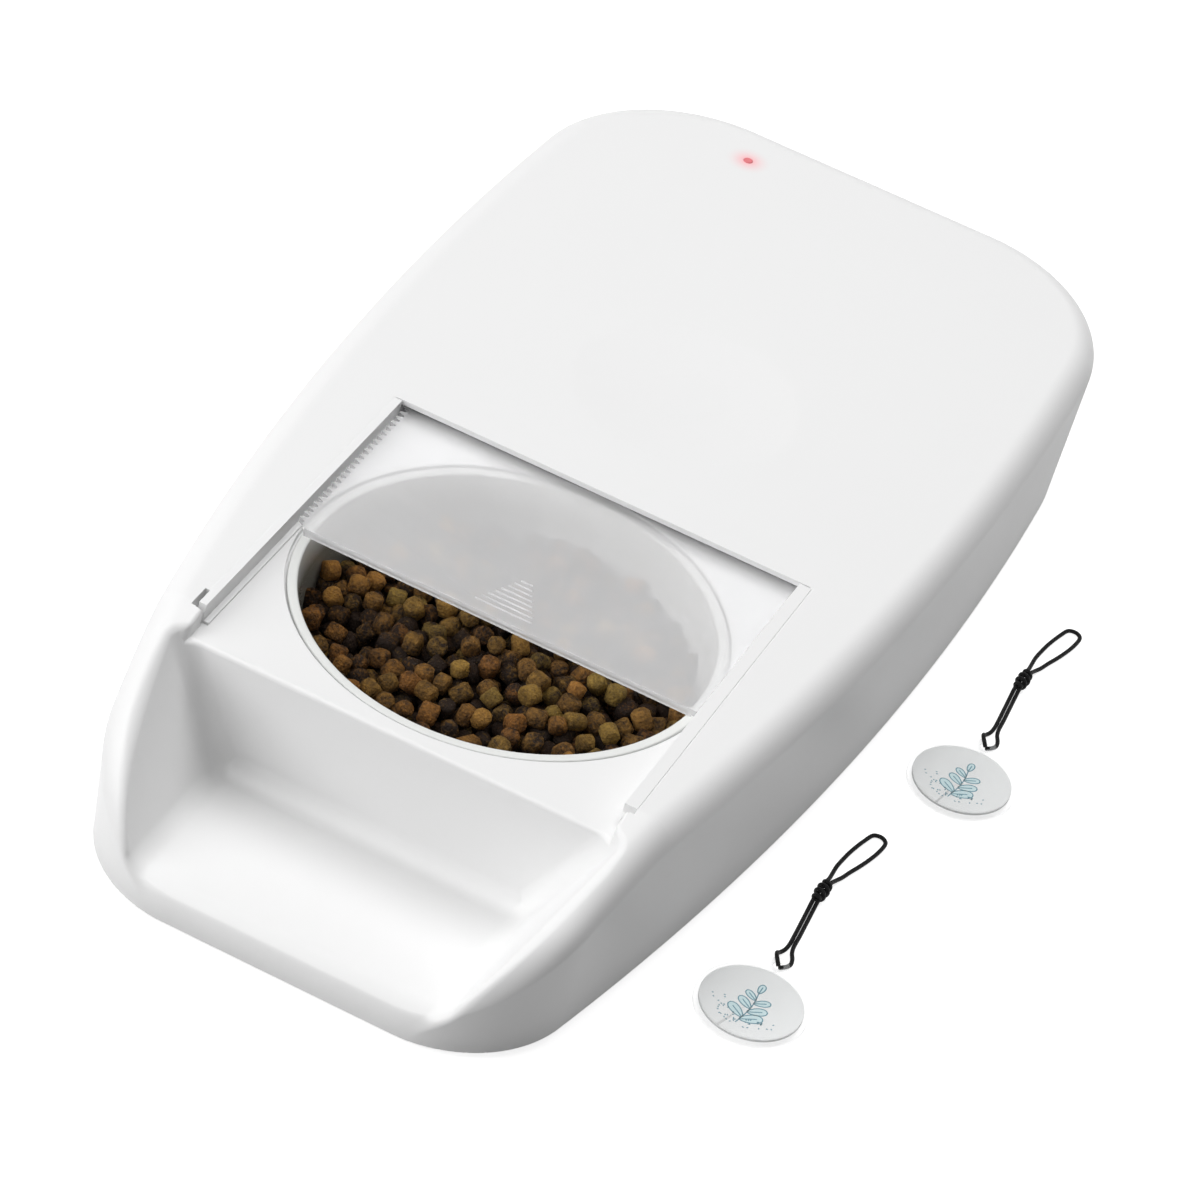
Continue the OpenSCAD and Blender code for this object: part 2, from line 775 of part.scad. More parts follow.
module sliding_lid() {
    color(clear)
        place() {
            translate([0, 0, lid_z])
                linear_extrude(lid_t)
                    polygon(lid_outline());
            block([4 - rack_tip, rack_tip - 4], [-lid_front, 2 - lid_front], [lid_z - 0.7, lid_z]);
            for (k = [0:grip_count - 1])
                translate([0, 5 - lid_front + k * grip_pitch, lid_z + lid_t])
                    grip_ridge(grip_len * (1 - k * 0.8 / (grip_count - 1)));
        }
}
module grip_ridge(length) {
    translate([length / 2, 0, 0])
        rotate([90, 0, -90])
            linear_extrude(length)
                polygon([[-grip_w / 2, -0.1], [grip_w / 2, -0.1], [grip_w / 2, grip_h / 2],
                    [grip_w / 4, grip_h], [-grip_w / 4, grip_h], [-grip_w / 2, grip_h / 2]]);
}

// One guide strip on the right-hand side; the left one is its mirror with a window
strip_under = hood_under - play;
module guide_strip() {
    block([deck_half_w, strip_half - 0.02], [-strip_front, -play], [deck_z, top_z]);
    block([deck_half_w, strip_half - 0.02], [-play - 0.1, shelf_reach + wall + play], [deck_z, strip_under]);
    block([deck_half_w, strip_half - 0.02], [shelf_reach + wall + play, strip_rear],
        [guide_tab_z - guide_tab_t, strip_under]);
    block([deck_half_w - ledge_w, deck_half_w + 0.1], [-strip_front, strip_rear],
        [deck_z, deck_z + ledge_h]);
    for (y = guide_boss_y)
        difference() {
            block([strip_half - 0.5, guide_boss_x + 4], [y - 4, y + 4],
                [guide_tab_z - guide_tab_t, guide_tab_z]);
            rod(guide_boss_x, y, [guide_tab_z - guide_tab_t - 1, guide_tab_z + 1], screw_d + 0.3);
        }
}
window_half = pinion_r + rack_module + 1;
module guide_rail_left() {
    color(white)
        place()
            difference() {
                mirror([1, 0, 0])
                    guide_strip();
                block([-strip_half - 1, 1 - deck_half_w + ledge_w],
                    [pinion_y - window_half, pinion_y + window_half], [pinion_z - play, top_z]);
                rod(-rack_axis, pinion_y, [deck_z - 1, top_z], hub_d + 4);
            }
}
// The right strip also has a lip that keeps the lid down
module guide_rail_right() {
    color(white)
        place() {
            guide_strip();
            block([deck_half_w - lip_w, deck_half_w + 0.1], [-strip_front, -play],
                [lid_z + lid_t + play, top_z]);
        }
}
module guide_screws() {
    color(steel)
        place()
            for (s = [-1, 1], y = guide_boss_y)
                translate([s * guide_boss_x, y, guide_tab_z - guide_tab_t])
                    screw(6);
}

module housing_screws() {
    color(steel)
        place()
            for (p = pillar_places)
                translate([p[0], p[1], skirt_z + 1.6])
                    screw(screw_depth);
}

// Base plate with foot recesses and the pillars of the carrier and the board
front_foot = [body_w / 2 - 47, 53 - nose_y];
rear_foot = [body_w / 2 - 29, tail_y - 53];
foot_places = [for (p = [front_foot, rear_foot], s = [-1, 1]) [s * p[0], p[1]]];
foot_recess = 1;
board_y = [tail_y - 21 - board_l, tail_y - 21];
board_hole = [board_w / 2 - 6, 6];
front_pillar_y = board_y[0] + board_hole[1];
rear_boss_y = board_y[1] - board_hole[1];
module base_plate() {
    color(pale)
        place()
            difference() {
                union() {
                    translate([0, 0, skirt_z])
                        linear_extrude(base_t)
                            polygon(outline(skirt_draft + skirt_chamfer / 2 + wall + base_gap));
                    for (x = carrier_screw_x, y = carrier_screw_y)
                        rod(x, y, [base_top - 0.5, carrier_low], carrier_pillar_d);
                    for (x = [-board_hole[0], board_hole[0]])
                        rod(x, front_pillar_y, [base_top - 0.5, board_z], 7);
                }
                for (p = foot_places)
                    rod(p[0], p[1], [skirt_z - 1, skirt_z + foot_recess], foot_d + 0.2);
                for (p = pillar_places) {
                    rod(p[0], p[1], [skirt_z - 1, skirt_z + 1.6], screw_head_d + 0.4);
                    rod(p[0], p[1], [skirt_z - 1, base_top + 1], screw_d + 0.4);
                }
                for (x = carrier_screw_x, y = carrier_screw_y)
                    rod(x, y, [carrier_low - 7, carrier_low + 1], screw_d + 0.04);
                for (x = [-board_hole[0], board_hole[0]])
                    rod(x, front_pillar_y, [board_z - 7, board_z + 1], screw_d + 0.04);
            }
}

module rubber_feet() {
    color(dark)
        place()
            for (p = foot_places)
                translate([p[0], p[1], 0]) {
                    cylinder(d1 = foot_d - 1.4, d2 = foot_d, h = 0.7);
                    translate([0, 0, 0.7])
                        cylinder(d = foot_d, h = foot_h + foot_recess - 0.7);
                }
}

// Bowl: a revolved wall with a flange that hangs on the ledge
bowl_top = ledge_z + rim_t;
bowl_lean = 3.5;
bowl_corner_r = 13;
bowl_out_r = bowl_d / 2 - rim_w;
bowl_foot_r = bowl_out_r - bowl_lean;
module bowl() {
    color(pale)
        place()
            at_bowl()
                rotate_extrude($fn = 120)
                    polygon(concat(
                        [[0, bowl_bottom]],
                        arc(bowl_foot_r - bowl_corner_r, bowl_bottom + bowl_corner_r, bowl_corner_r, -90, 0, 6),
                        [[bowl_out_r, ledge_z], [bowl_d / 2, ledge_z], [bowl_d / 2, bowl_top - 0.5],
                            [bowl_d / 2 - 0.5, bowl_top], [bowl_out_r - bowl_wall + 0.6, bowl_top],
                            [bowl_out_r - bowl_wall, bowl_top - 0.6]],
                        [for (p = arc(bowl_foot_r - bowl_corner_r, bowl_bottom + bowl_corner_r,
                            bowl_corner_r - bowl_wall, 0, -90, 6)) p],
                        [[0, bowl_bottom + bowl_wall]]));
}

// Dry food: a low heap in the bowl with pellets lying on it, set out on a spiral
heap_edge_z = bowl_top - heap_drop;
heap_r = bowl_foot_r - bowl_wall - play;
spiral_turn = 137.508;
function heap_z(r) = heap_edge_z + heap_rise * (1 - pow(r / heap_r, 2));
module heap_body() {
    steps = 5;
    rotate_extrude($fn = 96)
        polygon(concat(
            [[0, bowl_bottom + bowl_wall + play]],
            arc(bowl_foot_r - bowl_corner_r, bowl_bottom + bowl_corner_r,
                bowl_corner_r - bowl_wall - play, -90, 0, 6),
            [for (i = [steps:-1:0]) [heap_r * i / steps, heap_z(heap_r * i / steps)]]));
}
module pellet(k) {
    reach = heap_r - norm([pellet_d, pellet_l]) / 2;
    r = reach * sqrt((k + 0.5) / pellet_count);
    a = spiral_turn * k;
    translate([r * cos(a), r * sin(a), heap_z(r) + pellet_l / 8])
        rotate([75 * sin(77 * k), 0, 53 * k])
            cylinder(d = pellet_d, h = pellet_l, center = true);
}
module kibble_heap() {
    color([0.5, 0.33, 0.15])
        place()
            at_bowl() {
                heap_body();
                for (k = [0:pellet_count - 1])
                    pellet(k);
            }
}

// Reader coil on its former round the well
former_wall = 0.9;
former_r = well_r + 0.2;
module coil_former() {
    flange = former_r + former_wall + coil_t + 0.3;
    color(nylon)
        place()
            at_bowl()
                rotate_extrude($fn = 96)
                    polygon([[former_r, coil_rib_z], [flange, coil_rib_z], [flange, coil_rib_z + former_wall],
                        [former_r + former_wall, coil_rib_z + former_wall],
                        [former_r + former_wall, coil_rib_z + former_wall + coil_h],
                        [flange, coil_rib_z + former_wall + coil_h],
                        [flange, coil_rib_z + 2 * former_wall + coil_h],
                        [former_r, coil_rib_z + 2 * former_wall + coil_h]]);
}
module antenna_coil() {
    color([0.72, 0.4, 0.2])
        place()
            at_bowl()
                rotate_extrude($fn = 96)
                    translate([former_r + former_wall, coil_rib_z + former_wall])
                        square([coil_t, coil_h]);
}

// Circuit board and what is soldered to it
board_top = board_z + board_t;
module circuit_board() {
    color(green)
        place()
            difference() {
                block([-board_w / 2, board_w / 2], board_y, [board_z, board_top]);
                for (x = [-board_hole[0], board_hole[0]], y = [front_pillar_y, rear_boss_y])
                    rod(x, y, [board_z - 1, board_top + 1], screw_d + 0.2);
            }
}
module board_screws() {
    color(steel)
        place()
            for (x = [-board_hole[0], board_hole[0]], y = [front_pillar_y, rear_boss_y])
                translate([x, y, board_top])
                    rotate([180, 0, 0])
                        screw(y == front_pillar_y ? 7 : board_t + board_lift);
}
module microcontroller() {
    color(dark)
        place()
            block([-6, 6], [board_y[0] + 40, board_y[0] + 52], [board_top, board_top + 1.4]);
}
module capacitors() {
    color([0.2, 0.22, 0.35])
        place()
            for (x = [28, 38])
                rod(x, board_y[0] + 60, [board_top, board_top + 11], 8);
}
module wire_sockets() {
    color(pale)
        place()
            for (x = [-40, -22, 22, 40])
                difference() {
                    block([x - 5, x + 5], [board_y[0] + 4, board_y[0] + 9.6], [board_top, board_top + 6]);
                    block([x - 4.2, x + 4.2], [board_y[0] + 4.8, board_y[0] + 8.8],
                        [board_top + 1, board_top + 7]);
                }
}
module buzzer() {
    color(dark)
        place()
            difference() {
                rod(34, board_y[0] + 34, [board_top, board_top + 7], 12);
                rod(34, board_y[0] + 34, [board_top + 5, board_top + 8], 2);
            }
}
switch_l = 6;
module tact_switches() {
    color(dark)
        place()
            for (x = button_x)
                difference() {
                    block([x - 3, x + 3], [board_y[1] - switch_l + 1, board_y[1] + 1],
                        [board_top, board_top + 6.4]);
                    rear_rod(x, button_z, [board_y[1] - 3.6, board_y[1] + 2], stem_d + 0.4);
                }
}
module status_led() {
    color([0.9, 0.2, 0.15])
        place()
            rod(pipe_x, pipe_y, [board_top, board_top + 3.2], pipe_d - 0.2);
}
module light_pipe() {
    color([0.95, 0.35, 0.3])
        place() {
            rod(pipe_x, pipe_y, [board_top + 3.5, top_z + 0.2], pipe_d);
            rod(pipe_x, pipe_y, [hood_under - 1, hood_under], pipe_d + 3);
        }
}

// Push buttons: cap, flange behind the boss and a stem into the switch
stem_d = 3;
flange_t = 1.8;
module push_button(x) {
    rear_rod(x, button_z, [button_boss_y - play - flange_t, tail_y + button_proud - 0.6], button_d);
    rear_rod(x, button_z, [tail_y + button_proud - 0.7, tail_y + button_proud], button_d - 1.2);
    rear_rod(x, button_z, [button_boss_y - play - flange_t, button_boss_y - play], button_d + 3);
    rear_rod(x, button_z, [board_y[1] - 2.2, button_boss_y - play - 1], stem_d);
}
module open_button() {
    color(pale)
        place()
            push_button(button_x[0]);
}
module learn_button() {
    color(pale)
        place()
            push_button(button_x[1]);
}

// Battery box with a round bay for each cell, and the lugs of the door's hinge
contact_gap = 3.4;
cell_end = door_inner - 1.2;
box_front = cell_end - cell_l - contact_gap - 2;
box_rear = door_inner - 1.8;
bay_end = box_front + 2;
box_half = bay_half + 2.2;
hinge_y = door_inner + door_t / 2;
hinge_z = door_low + door_gap + door_t / 2;
cradle_count = 4;
cradle_t = 2;
cradle_pitch = (box_rear - bay_end - cradle_t) / (cradle_count - 1);
lug_half = 0.8;
lug_in = bay_half - 2.9;
lug_out = bay_half - door_gap;
function cell_x(k) = (k - (cell_count - 1) / 2) * cell_pitch;
module battery_box() {
    color(pale)
        place() {
            difference() {
                block([-box_half, box_half], [box_front, box_rear], [base_top, box_top]);
                block([-bay_half, bay_half], [bay_end, box_rear + 1], [cell_z, box_top - box_roof]);
                for (k = [0:cell_count - 1])
                    rear_rod(cell_x(k), cell_z, [bay_end, box_rear + 1], cell_hole_d);
                for (k = [0:cradle_count - 2])
                    block([-bay_half, bay_half],
                        [bay_end + cradle_t + k * cradle_pitch, bay_end + (k + 1) * cradle_pitch],
                        [base_top + box_floor, cell_z + 1]);
            }
            for (x = [-board_hole[0], board_hole[0]])
                board_boss(x);
            for (s = [-1, 1])
                hinge_lug(s);
        }
}
module board_boss(x) {
    difference() {
        union() {
            rod(x, rear_boss_y, [box_top - 0.3, board_z], 7);
            block([min(x, 0), max(x, 0)], [rear_boss_y - 1.2, rear_boss_y + 1.2], [box_top - 0.3, box_top + 0.8]);
        }
        rod(x, rear_boss_y, [box_top - 0.2, board_z + 1], screw_d + 0.04);
    }
}
module hinge_lug(s) {
    difference() {
        block([s < 0 ? -lug_out : lug_in, s < 0 ? -lug_in : lug_out],
            [box_rear - 1, hinge_y + lug_half], [door_low + 0.1, hinge_z + lug_half]);
        rear_rod(s * cell_x(cell_count - 1), cell_z, [bay_end, box_rear + 0.2], cell_hole_d);
    }
    translate([s * (lug_in + 0.5), hinge_y, hinge_z])
        rotate([0, -90 * s, 0])
            cylinder(d = hinge_pin_d, h = 2.6);
}
module battery_cells() {
    color([0.2, 0.35, 0.6])
        place()
            for (k = [0:cell_count - 1])
                translate([cell_x(k), cell_end - cell_l / 2, cell_z])
                    rotate([k % 2 == 0 ? -90 : 90, 0, 0]) {
                        translate([0, 0, -cell_l / 2])
                            cylinder(d = cell_d, h = cell_l - 1.2);
                        cylinder(d = 6, h = cell_l / 2);
                    }
}
module battery_contacts() {
    color(steel)
        place()
            for (k = [0:cell_count - 1])
                translate([cell_x(k) - 4, bay_end, cell_z])
                    rotate([90, 0, 90])
                        linear_extrude(8)
                            polygon([[0, -8], [0.5, -8], [0.5, 4.4], [contact_gap - 0.7, 0.6], [0.9, -4.6],
                                [1.4, -4.8], [contact_gap - 0.1, 0.6], [0.5, 5.4], [0.5, 8], [0, 8]]);
}

// Door: a flat panel that turns on a barrel along its lower edge
door_half = bay_half + play - door_gap;
barrel_half = lug_in - door_gap;
module battery_door() {
    color(white)
        place()
            difference() {
                union() {
                    block([-barrel_half, barrel_half], [door_inner, door_face], [hinge_z, door_high - door_gap]);
                    block([-door_half, door_half], [door_inner, door_face],
                        [hinge_z + door_t / 2 + door_gap, door_high - door_gap]);
                    translate([-barrel_half, hinge_y, hinge_z])
                        rotate([0, 90, 0])
                            cylinder(d = door_t, h = 2 * barrel_half);
                }
                for (s = [-1, 1])
                    translate([s * (barrel_half + 1), hinge_y, hinge_z])
                        rotate([0, -90 * s, 0])
                            cylinder(d = hinge_pin_d + 0.1, h = 4);
                block([-9, 9], [door_face - 1.1, door_face + 1], [door_high - 5, door_high - 1.6]);
            }
}
module door_contacts() {
    color(steel)
        place()
            for (k = [0:2:cell_count - 2])
                block([cell_x(k) - 5, cell_x(k + 1) + 5], [door_inner - 0.6, door_inner],
                    [cell_z - 4, cell_z + 4]);
}

// Radio tags: a case with a lug, a printed inlay in its recess and a clear dome
inlay_t = 0.8;
dome_d = tag_d - 2 * tag_rim;
lug_r = lug_hole_d / 2 + 1.8;
lug_reach = tag_d / 2 + lug_hole_d / 2 + 1;
lug_z = [cord_d + 0.2, tag_t];
module at_tag(pos) {
    place()
        translate([pos[0], pos[1], 0])
            children();
}
module tag_case(pos) {
    color(clear)
        at_tag(pos)
            difference() {
                union() {
                    cylinder(d1 = tag_d - 1, d2 = tag_d, h = 0.5, $fn = 72);
                    rod(0, 0, [0.5, tag_t], tag_d, $fn = 72);
                    rod(0, lug_reach, lug_z, 2 * lug_r);
                    block([-lug_r, lug_r], [tag_d / 2 - 1, lug_reach], lug_z);
                }
                rod(0, 0, [tag_t - inlay_t, tag_t + 1], dome_d);
                rod(0, lug_reach, [-1, tag_t + 1], lug_hole_d);
            }
}
module tag_inlay(pos) {
    color(white)
        at_tag(pos)
            rod(0, 0, [tag_t - inlay_t, tag_t], dome_d - 0.1);
}
module tag_dome(pos) {
    rise = 0.5;
    steps = 6;
    color(clear)
        at_tag(pos)
            rotate_extrude($fn = 72)
                polygon(concat(
                    [[0, tag_t], [dome_d / 2 - 0.05, tag_t]],
                    [for (i = [steps:-1:0])
                        [(dome_d / 2 - 0.05) * i / steps, tag_t + rise + (dome_h - rise) * (1 - pow(i / steps, 2))]]));
}

// Lanyard: one closed loop of cord through the lug, tied in a knot
cord_sides = 8;
knot_y = lug_reach + 40;
knot_x = -2.6;
tip_y = knot_y + 38;
knot_l = 11;
knot_r = 2.5;
knot_z = knot_r;
rest_z = cord_d / 2;
strand = cord_d / 2 + 0.05;
left_x = knot_x - strand;
right_x = knot_x + strand;
lanyard_route = [
    [0, lug_reach, 2.1], [-0.9, lug_reach + 1, 2.9], [-2, lug_reach + 2.7, 3.2],
    [-2.7, lug_reach + 4.8, 2.6], [-2.5, lug_reach + 7.2, rest_z + 0.3], [-1.7, lug_reach + 9.8, rest_z],
    [-1.5, lug_reach + 13, rest_z], [-1.9, lug_reach + 18, rest_z], [-2.4, lug_reach + 23, rest_z],
    [-2.9, lug_reach + 28, rest_z], [left_x + 0.1, knot_y - 8, rest_z + 0.5], [left_x, knot_y - 5, knot_z - 0.1],
    [left_x, knot_y, knot_z], [left_x, knot_y + 5, knot_z - 0.1], [left_x - 0.1, knot_y + 8.5, rest_z + 0.6],
    [left_x - 0.4, knot_y + 12, rest_z], [left_x - 0.6, knot_y + 16, rest_z],
    [left_x - 0.3, knot_y + 20.5, rest_z], [left_x + 0.2, knot_y + 25, rest_z],
    [left_x + 1, knot_y + 29.5, rest_z], [left_x + 1.8, knot_y + 33, rest_z],
    [left_x + 2.8, tip_y - 1.4, rest_z], [left_x + 4.2, tip_y - 0.2, rest_z], [left_x + 6.1, tip_y - 0.2, rest_z],
    [left_x + 7.6, tip_y - 1.4, rest_z], [left_x + 8, tip_y - 3.4, rest_z], [left_x + 7.6, knot_y + 30, rest_z],
    [left_x + 6.6, knot_y + 25, rest_z], [left_x + 5.4, knot_y + 20.5, rest_z],
    [left_x + 4, knot_y + 16, rest_z], [left_x + 2.9, knot_y + 12, rest_z],
    [right_x + 0.4, knot_y + 8.5, rest_z + 0.6], [right_x, knot_y + 5, knot_z - 0.1],
    [right_x, knot_y, knot_z], [right_x, knot_y - 5, knot_z - 0.1], [right_x + 0.1, knot_y - 8, rest_z + 0.5],
    [-1.4, lug_reach + 28, rest_z], [-0.9, lug_reach + 23, rest_z], [-0.4, lug_reach + 18, rest_z],
    [0, lug_reach + 13, rest_z], [0.7, lug_reach + 9.8, rest_z], [2, lug_reach + 7, rest_z],
    [2.5, lug_reach + 4.6, rest_z], [1.7, lug_reach + 2.6, rest_z], [0.3, lug_reach + 0.6, rest_z + 0.4]];
function unit(v) = v / norm(v);
function heading(path, i) = unit(path[min(i + 1, len(path) - 1)] - path[max(i - 1, 0)]);
function tube_ring(path, i, d) =
    let (t = heading(path, i))
    let (side = unit(cross(t, [0, 0, 1]) + [0.001, 0, 0]))
    let (up = cross(side, t))
    [for (k = [0:cord_sides - 1]) let (a = 360 * (k + 0.5) / cord_sides)
        path[i] + d / 2 * (cos(a) * side + sin(a) * up)];
module tube(path, d) {
    count = len(path);
    rings = [for (i = [0:count - 1]) tube_ring(path, i, d)];
    ends = [[for (k = [0:cord_sides - 1]) k],
        [for (k = [cord_sides - 1:-1:0]) (count - 1) * cord_sides + k]];
    walls = [for (i = [0:count - 2], k = [0:cord_sides - 1])
        let (j = (k + 1) % cord_sides)
        [i * cord_sides + k, (i + 1) * cord_sides + k, (i + 1) * cord_sides + j, i * cord_sides + j]];
    polyhedron(points = [for (ring = rings, p = ring) p], faces = concat(ends, walls), convexity = 10);
}
module lanyard(pos) {
    color(dark)
        at_tag(pos)
            tube(lanyard_route, cord_d);
}
module lanyard_knot(pos) {
    color(dark)
        at_tag(pos)
            translate([knot_x, knot_y, knot_z])
                rotate([90, 0, 0])
                    rotate_extrude($fn = 24)
                        polygon([[knot_r - 0.5, -knot_l / 2], [knot_r - 0.1, -knot_l / 2], [knot_r, 0],
                            [knot_r - 0.1, knot_l / 2], [knot_r - 0.5, knot_l / 2]]);
}
module tag_case_a() { tag_case(tag_a_pos); }
module tag_inlay_a() { tag_inlay(tag_a_pos); }
module tag_dome_a() { tag_dome(tag_a_pos); }
module lanyard_a() { lanyard(tag_a_pos); }
module lanyard_knot_a() { lanyard_knot(tag_a_pos); }
module tag_case_b() { tag_case(tag_b_pos); }
module tag_inlay_b() { tag_inlay(tag_b_pos); }
module tag_dome_b() { tag_dome(tag_b_pos); }
module lanyard_b() { lanyard(tag_b_pos); }
module lanyard_knot_b() { lanyard_knot(tag_b_pos); }

upper_housing();
base_plate();
rubber_feet();
housing_screws();
bowl();
kibble_heap();
sliding_lid();
guide_rail_left();
guide_rail_right();
guide_screws();
gear_carrier();
carrier_screws();
shaft_bushes();
rack_pinion();
spur_gear();
pinion_shaft();
motor_pinion();
motor_shaft();
motor_gearbox();
motor();
coil_former();
antenna_coil();
circuit_board();
board_screws();
microcontroller();
capacitors();
wire_sockets();
buzzer();
tact_switches();
status_led();
light_pipe();
open_button();
learn_button();
battery_box();
battery_cells();
battery_contacts();
battery_door();
door_contacts();
tag_case_a();
tag_inlay_a();
tag_dome_a();
lanyard_a();
lanyard_knot_a();
tag_case_b();
tag_inlay_b();
tag_dome_b();
lanyard_b();
lanyard_knot_b();
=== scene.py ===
"""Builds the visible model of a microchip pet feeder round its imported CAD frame."""

import json
import logging
import math
from dataclasses import dataclass
from enum import Enum
from typing import Callable, Iterable, Optional, Sequence

import bmesh
import bpy
import numpy as np
from mathutils import Matrix, Vector

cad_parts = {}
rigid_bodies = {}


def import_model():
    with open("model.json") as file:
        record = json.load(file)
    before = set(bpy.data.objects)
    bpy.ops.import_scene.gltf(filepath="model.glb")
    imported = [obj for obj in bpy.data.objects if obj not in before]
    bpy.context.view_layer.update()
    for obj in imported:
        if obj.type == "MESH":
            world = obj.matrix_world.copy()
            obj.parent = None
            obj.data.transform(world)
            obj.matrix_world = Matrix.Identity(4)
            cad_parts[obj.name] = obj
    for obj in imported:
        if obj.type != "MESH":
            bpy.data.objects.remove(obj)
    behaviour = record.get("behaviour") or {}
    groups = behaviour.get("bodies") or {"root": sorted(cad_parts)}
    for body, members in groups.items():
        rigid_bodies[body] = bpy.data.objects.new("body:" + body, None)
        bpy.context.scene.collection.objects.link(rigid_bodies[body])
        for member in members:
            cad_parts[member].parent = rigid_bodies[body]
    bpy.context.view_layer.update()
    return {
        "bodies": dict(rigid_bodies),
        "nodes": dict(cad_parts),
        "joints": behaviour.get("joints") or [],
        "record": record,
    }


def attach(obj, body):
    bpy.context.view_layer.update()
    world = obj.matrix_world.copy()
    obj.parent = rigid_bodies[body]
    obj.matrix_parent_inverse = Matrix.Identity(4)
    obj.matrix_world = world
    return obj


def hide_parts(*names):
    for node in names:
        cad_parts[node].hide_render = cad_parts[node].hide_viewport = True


log = logging.getLogger("feeder")

MM = 0.001
TINY = 1e-6
ROW_ORIGIN_MM = (23.0, 13.5, 0.0)
# Middle of the bowl along the length, and the ledge that its rim hangs on
BOWL_Y_MM = -64.6
LEDGE_Z_MM = 53.8

Point = tuple[float, float]
Vec = tuple[float, float, float]
Colour = tuple[float, float, float]
Array = np.ndarray
Piece = bpy.types.Object
Material = bpy.types.Material
Node = bpy.types.Node
NodeTree = bpy.types.NodeTree
Socket = bpy.types.NodeSocket


class Slot(Enum):
    """Material slots of the record that the pieces take their finish from."""

    SHELL = "white_plastic"
    BASE = "base_plastic"
    FOOT = "foot_rubber"
    SCREW = "screw_steel"
    BOWL = "bowl_plastic"
    LID = "lid_plastic"
    NYLON = "nylon"
    SHAFT = "shaft_steel"
    BRASS = "brass"
    MOTOR = "motor_metal"
    COPPER = "copper"
    BOARD = "board_green"
    CHIP = "chip_black"
    SLEEVE = "capacitor_sleeve"
    SOCKET = "socket_plastic"
    LENS = "red_lens"
    BUTTON = "button_plastic"
    INNER = "inner_plastic"
    CELL = "cell_jacket"
    CONTACT = "contact_steel"
    TAG = "tag_clear"
    PRINT = "tag_print"
    CORD = "cord_black"
    KIBBLE = "kibble"


class Body(Enum):
    """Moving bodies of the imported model."""

    HOUSING = "housing"
    LID = "lid"
    PINION = "pinion_unit"
    MOTOR = "motor_unit"
    OPEN_BUTTON = "open_button"
    LEARN_BUTTON = "learn_button"
    DOOR = "battery_door"
    TAG_A = "tag_a"
    TAG_B = "tag_b"


def to_row(points: Array) -> Array:
    """Turns points of the feeder's own frame in mm into the row frame in metres."""
    return (np.asarray(points, float) - np.array(ROW_ORIGIN_MM)) * MM


def srgb(red: float, green: float, blue: float) -> Colour:
    """Turns display values from 0 to 255 into a linear colour."""

    def one(value: float) -> float:
        """Linear value of one channel."""
        level = value / 255.0
        return level / 12.92 if level <= 0.04045 else ((level + 0.055) / 1.055) ** 2.4

    return (one(red), one(green), one(blue))


def clamp01(value: Array) -> Array:
    """Limits values to the range from 0 to 1."""
    return np.clip(value, 0.0, 1.0)


# Meshes


def new_piece(name: str, points_mm: Array, faces: Sequence[Sequence[int]]) -> Piece:
    """Makes a mesh object at the origin from points in the feeder's own frame.

    Args:
        name: Name of the piece.
        points_mm: Points in mm.
        faces: Corner numbers of each face, counter-clockwise from outside.

    Returns:
        The linked object.
    """
    mesh = bpy.data.meshes.new(name)
    mesh.from_pydata(to_row(points_mm).tolist(), [], [list(f) for f in faces])
    mesh.update()
    piece = bpy.data.objects.new(name, mesh)
    bpy.context.scene.collection.objects.link(piece)
    return piece


def smooth_all(piece: Piece) -> None:
    """Shades every face of a piece smooth."""
    piece.data.polygons.foreach_set("use_smooth", [True] * len(piece.data.polygons))


def sharpen(piece: Piece, degrees: float) -> None:
    """Shades a piece smooth except at edges above an angle.

    Args:
        piece: The piece.
        degrees: Angle between faces from which an edge stays sharp.
    """
    smooth_all(piece)
    piece.data.set_sharp_from_angle(angle=math.radians(degrees))


def bake_modifiers(piece: Piece) -> None:
    """Turns a piece's live modifiers into its plain mesh and removes them."""
    graph = bpy.context.evaluated_depsgraph_get()
    graph.update()
    mesh = bpy.data.meshes.new_from_object(piece.evaluated_get(graph), depsgraph=graph)
    old = piece.data
    piece.modifiers.clear()
    piece.data = mesh
    mesh.name = piece.name
    bpy.data.meshes.remove(old)


def wear(piece: Piece, material: Material) -> None:
    """Gives every face of a piece one material."""
    mesh = piece.data
    mesh.materials.clear()
    mesh.materials.append(material)
    mesh.polygons.foreach_set("material_index", [0] * len(mesh.polygons))


def drop(piece: Piece) -> None:
    """Removes a helper object and its mesh."""
    mesh = piece.data
    bpy.data.objects.remove(piece)
    if mesh is not None and mesh.users == 0:
        bpy.data.meshes.remove(mesh)


def lathe(name: str, profile: Sequence[Point], centre: Vec, segments: int, axis: str = "z") -> Piece:
    """Turns a closed profile round an axis.

    Args:
        name: Name of the piece.
        profile: Points (radius, height) in mm, counter-clockwise with the axis on the left.
        centre: Place of the axis and of height 0, in mm.
        segments: Number of steps round the axis.
        axis: "z" for an upright axis, "y" for one that points to the rear.

    Returns:
        A closed object.
    """
    points: list[Vec] = []
    rings: list[list[int]] = []
    for radius, height in profile:
        if radius < TINY:
            rings.append([len(points)] * segments)
            points.append((0.0, 0.0, height))
            continue
        rings.append(list(range(len(points), len(points) + segments)))
        for k in range(segments):
            turn = 2 * math.pi * k / segments
            points.append((radius * math.cos(turn), radius * math.sin(turn), height))
    faces = []
    for a, b in zip(rings, rings[1:] + rings[:1]):
        for k in range(segments):
            n = (k + 1) % segments
            corners = [a[k], a[n], b[n], b[k]]
            unique = list(dict.fromkeys(corners))
            if len(unique) > 2:
                faces.append(unique)
    coords = np.array(points)
    if axis == "y":
        coords = np.stack([coords[:, 0], coords[:, 2], -coords[:, 1]], axis=1)
    return new_piece(name, coords + np.array(centre), faces)


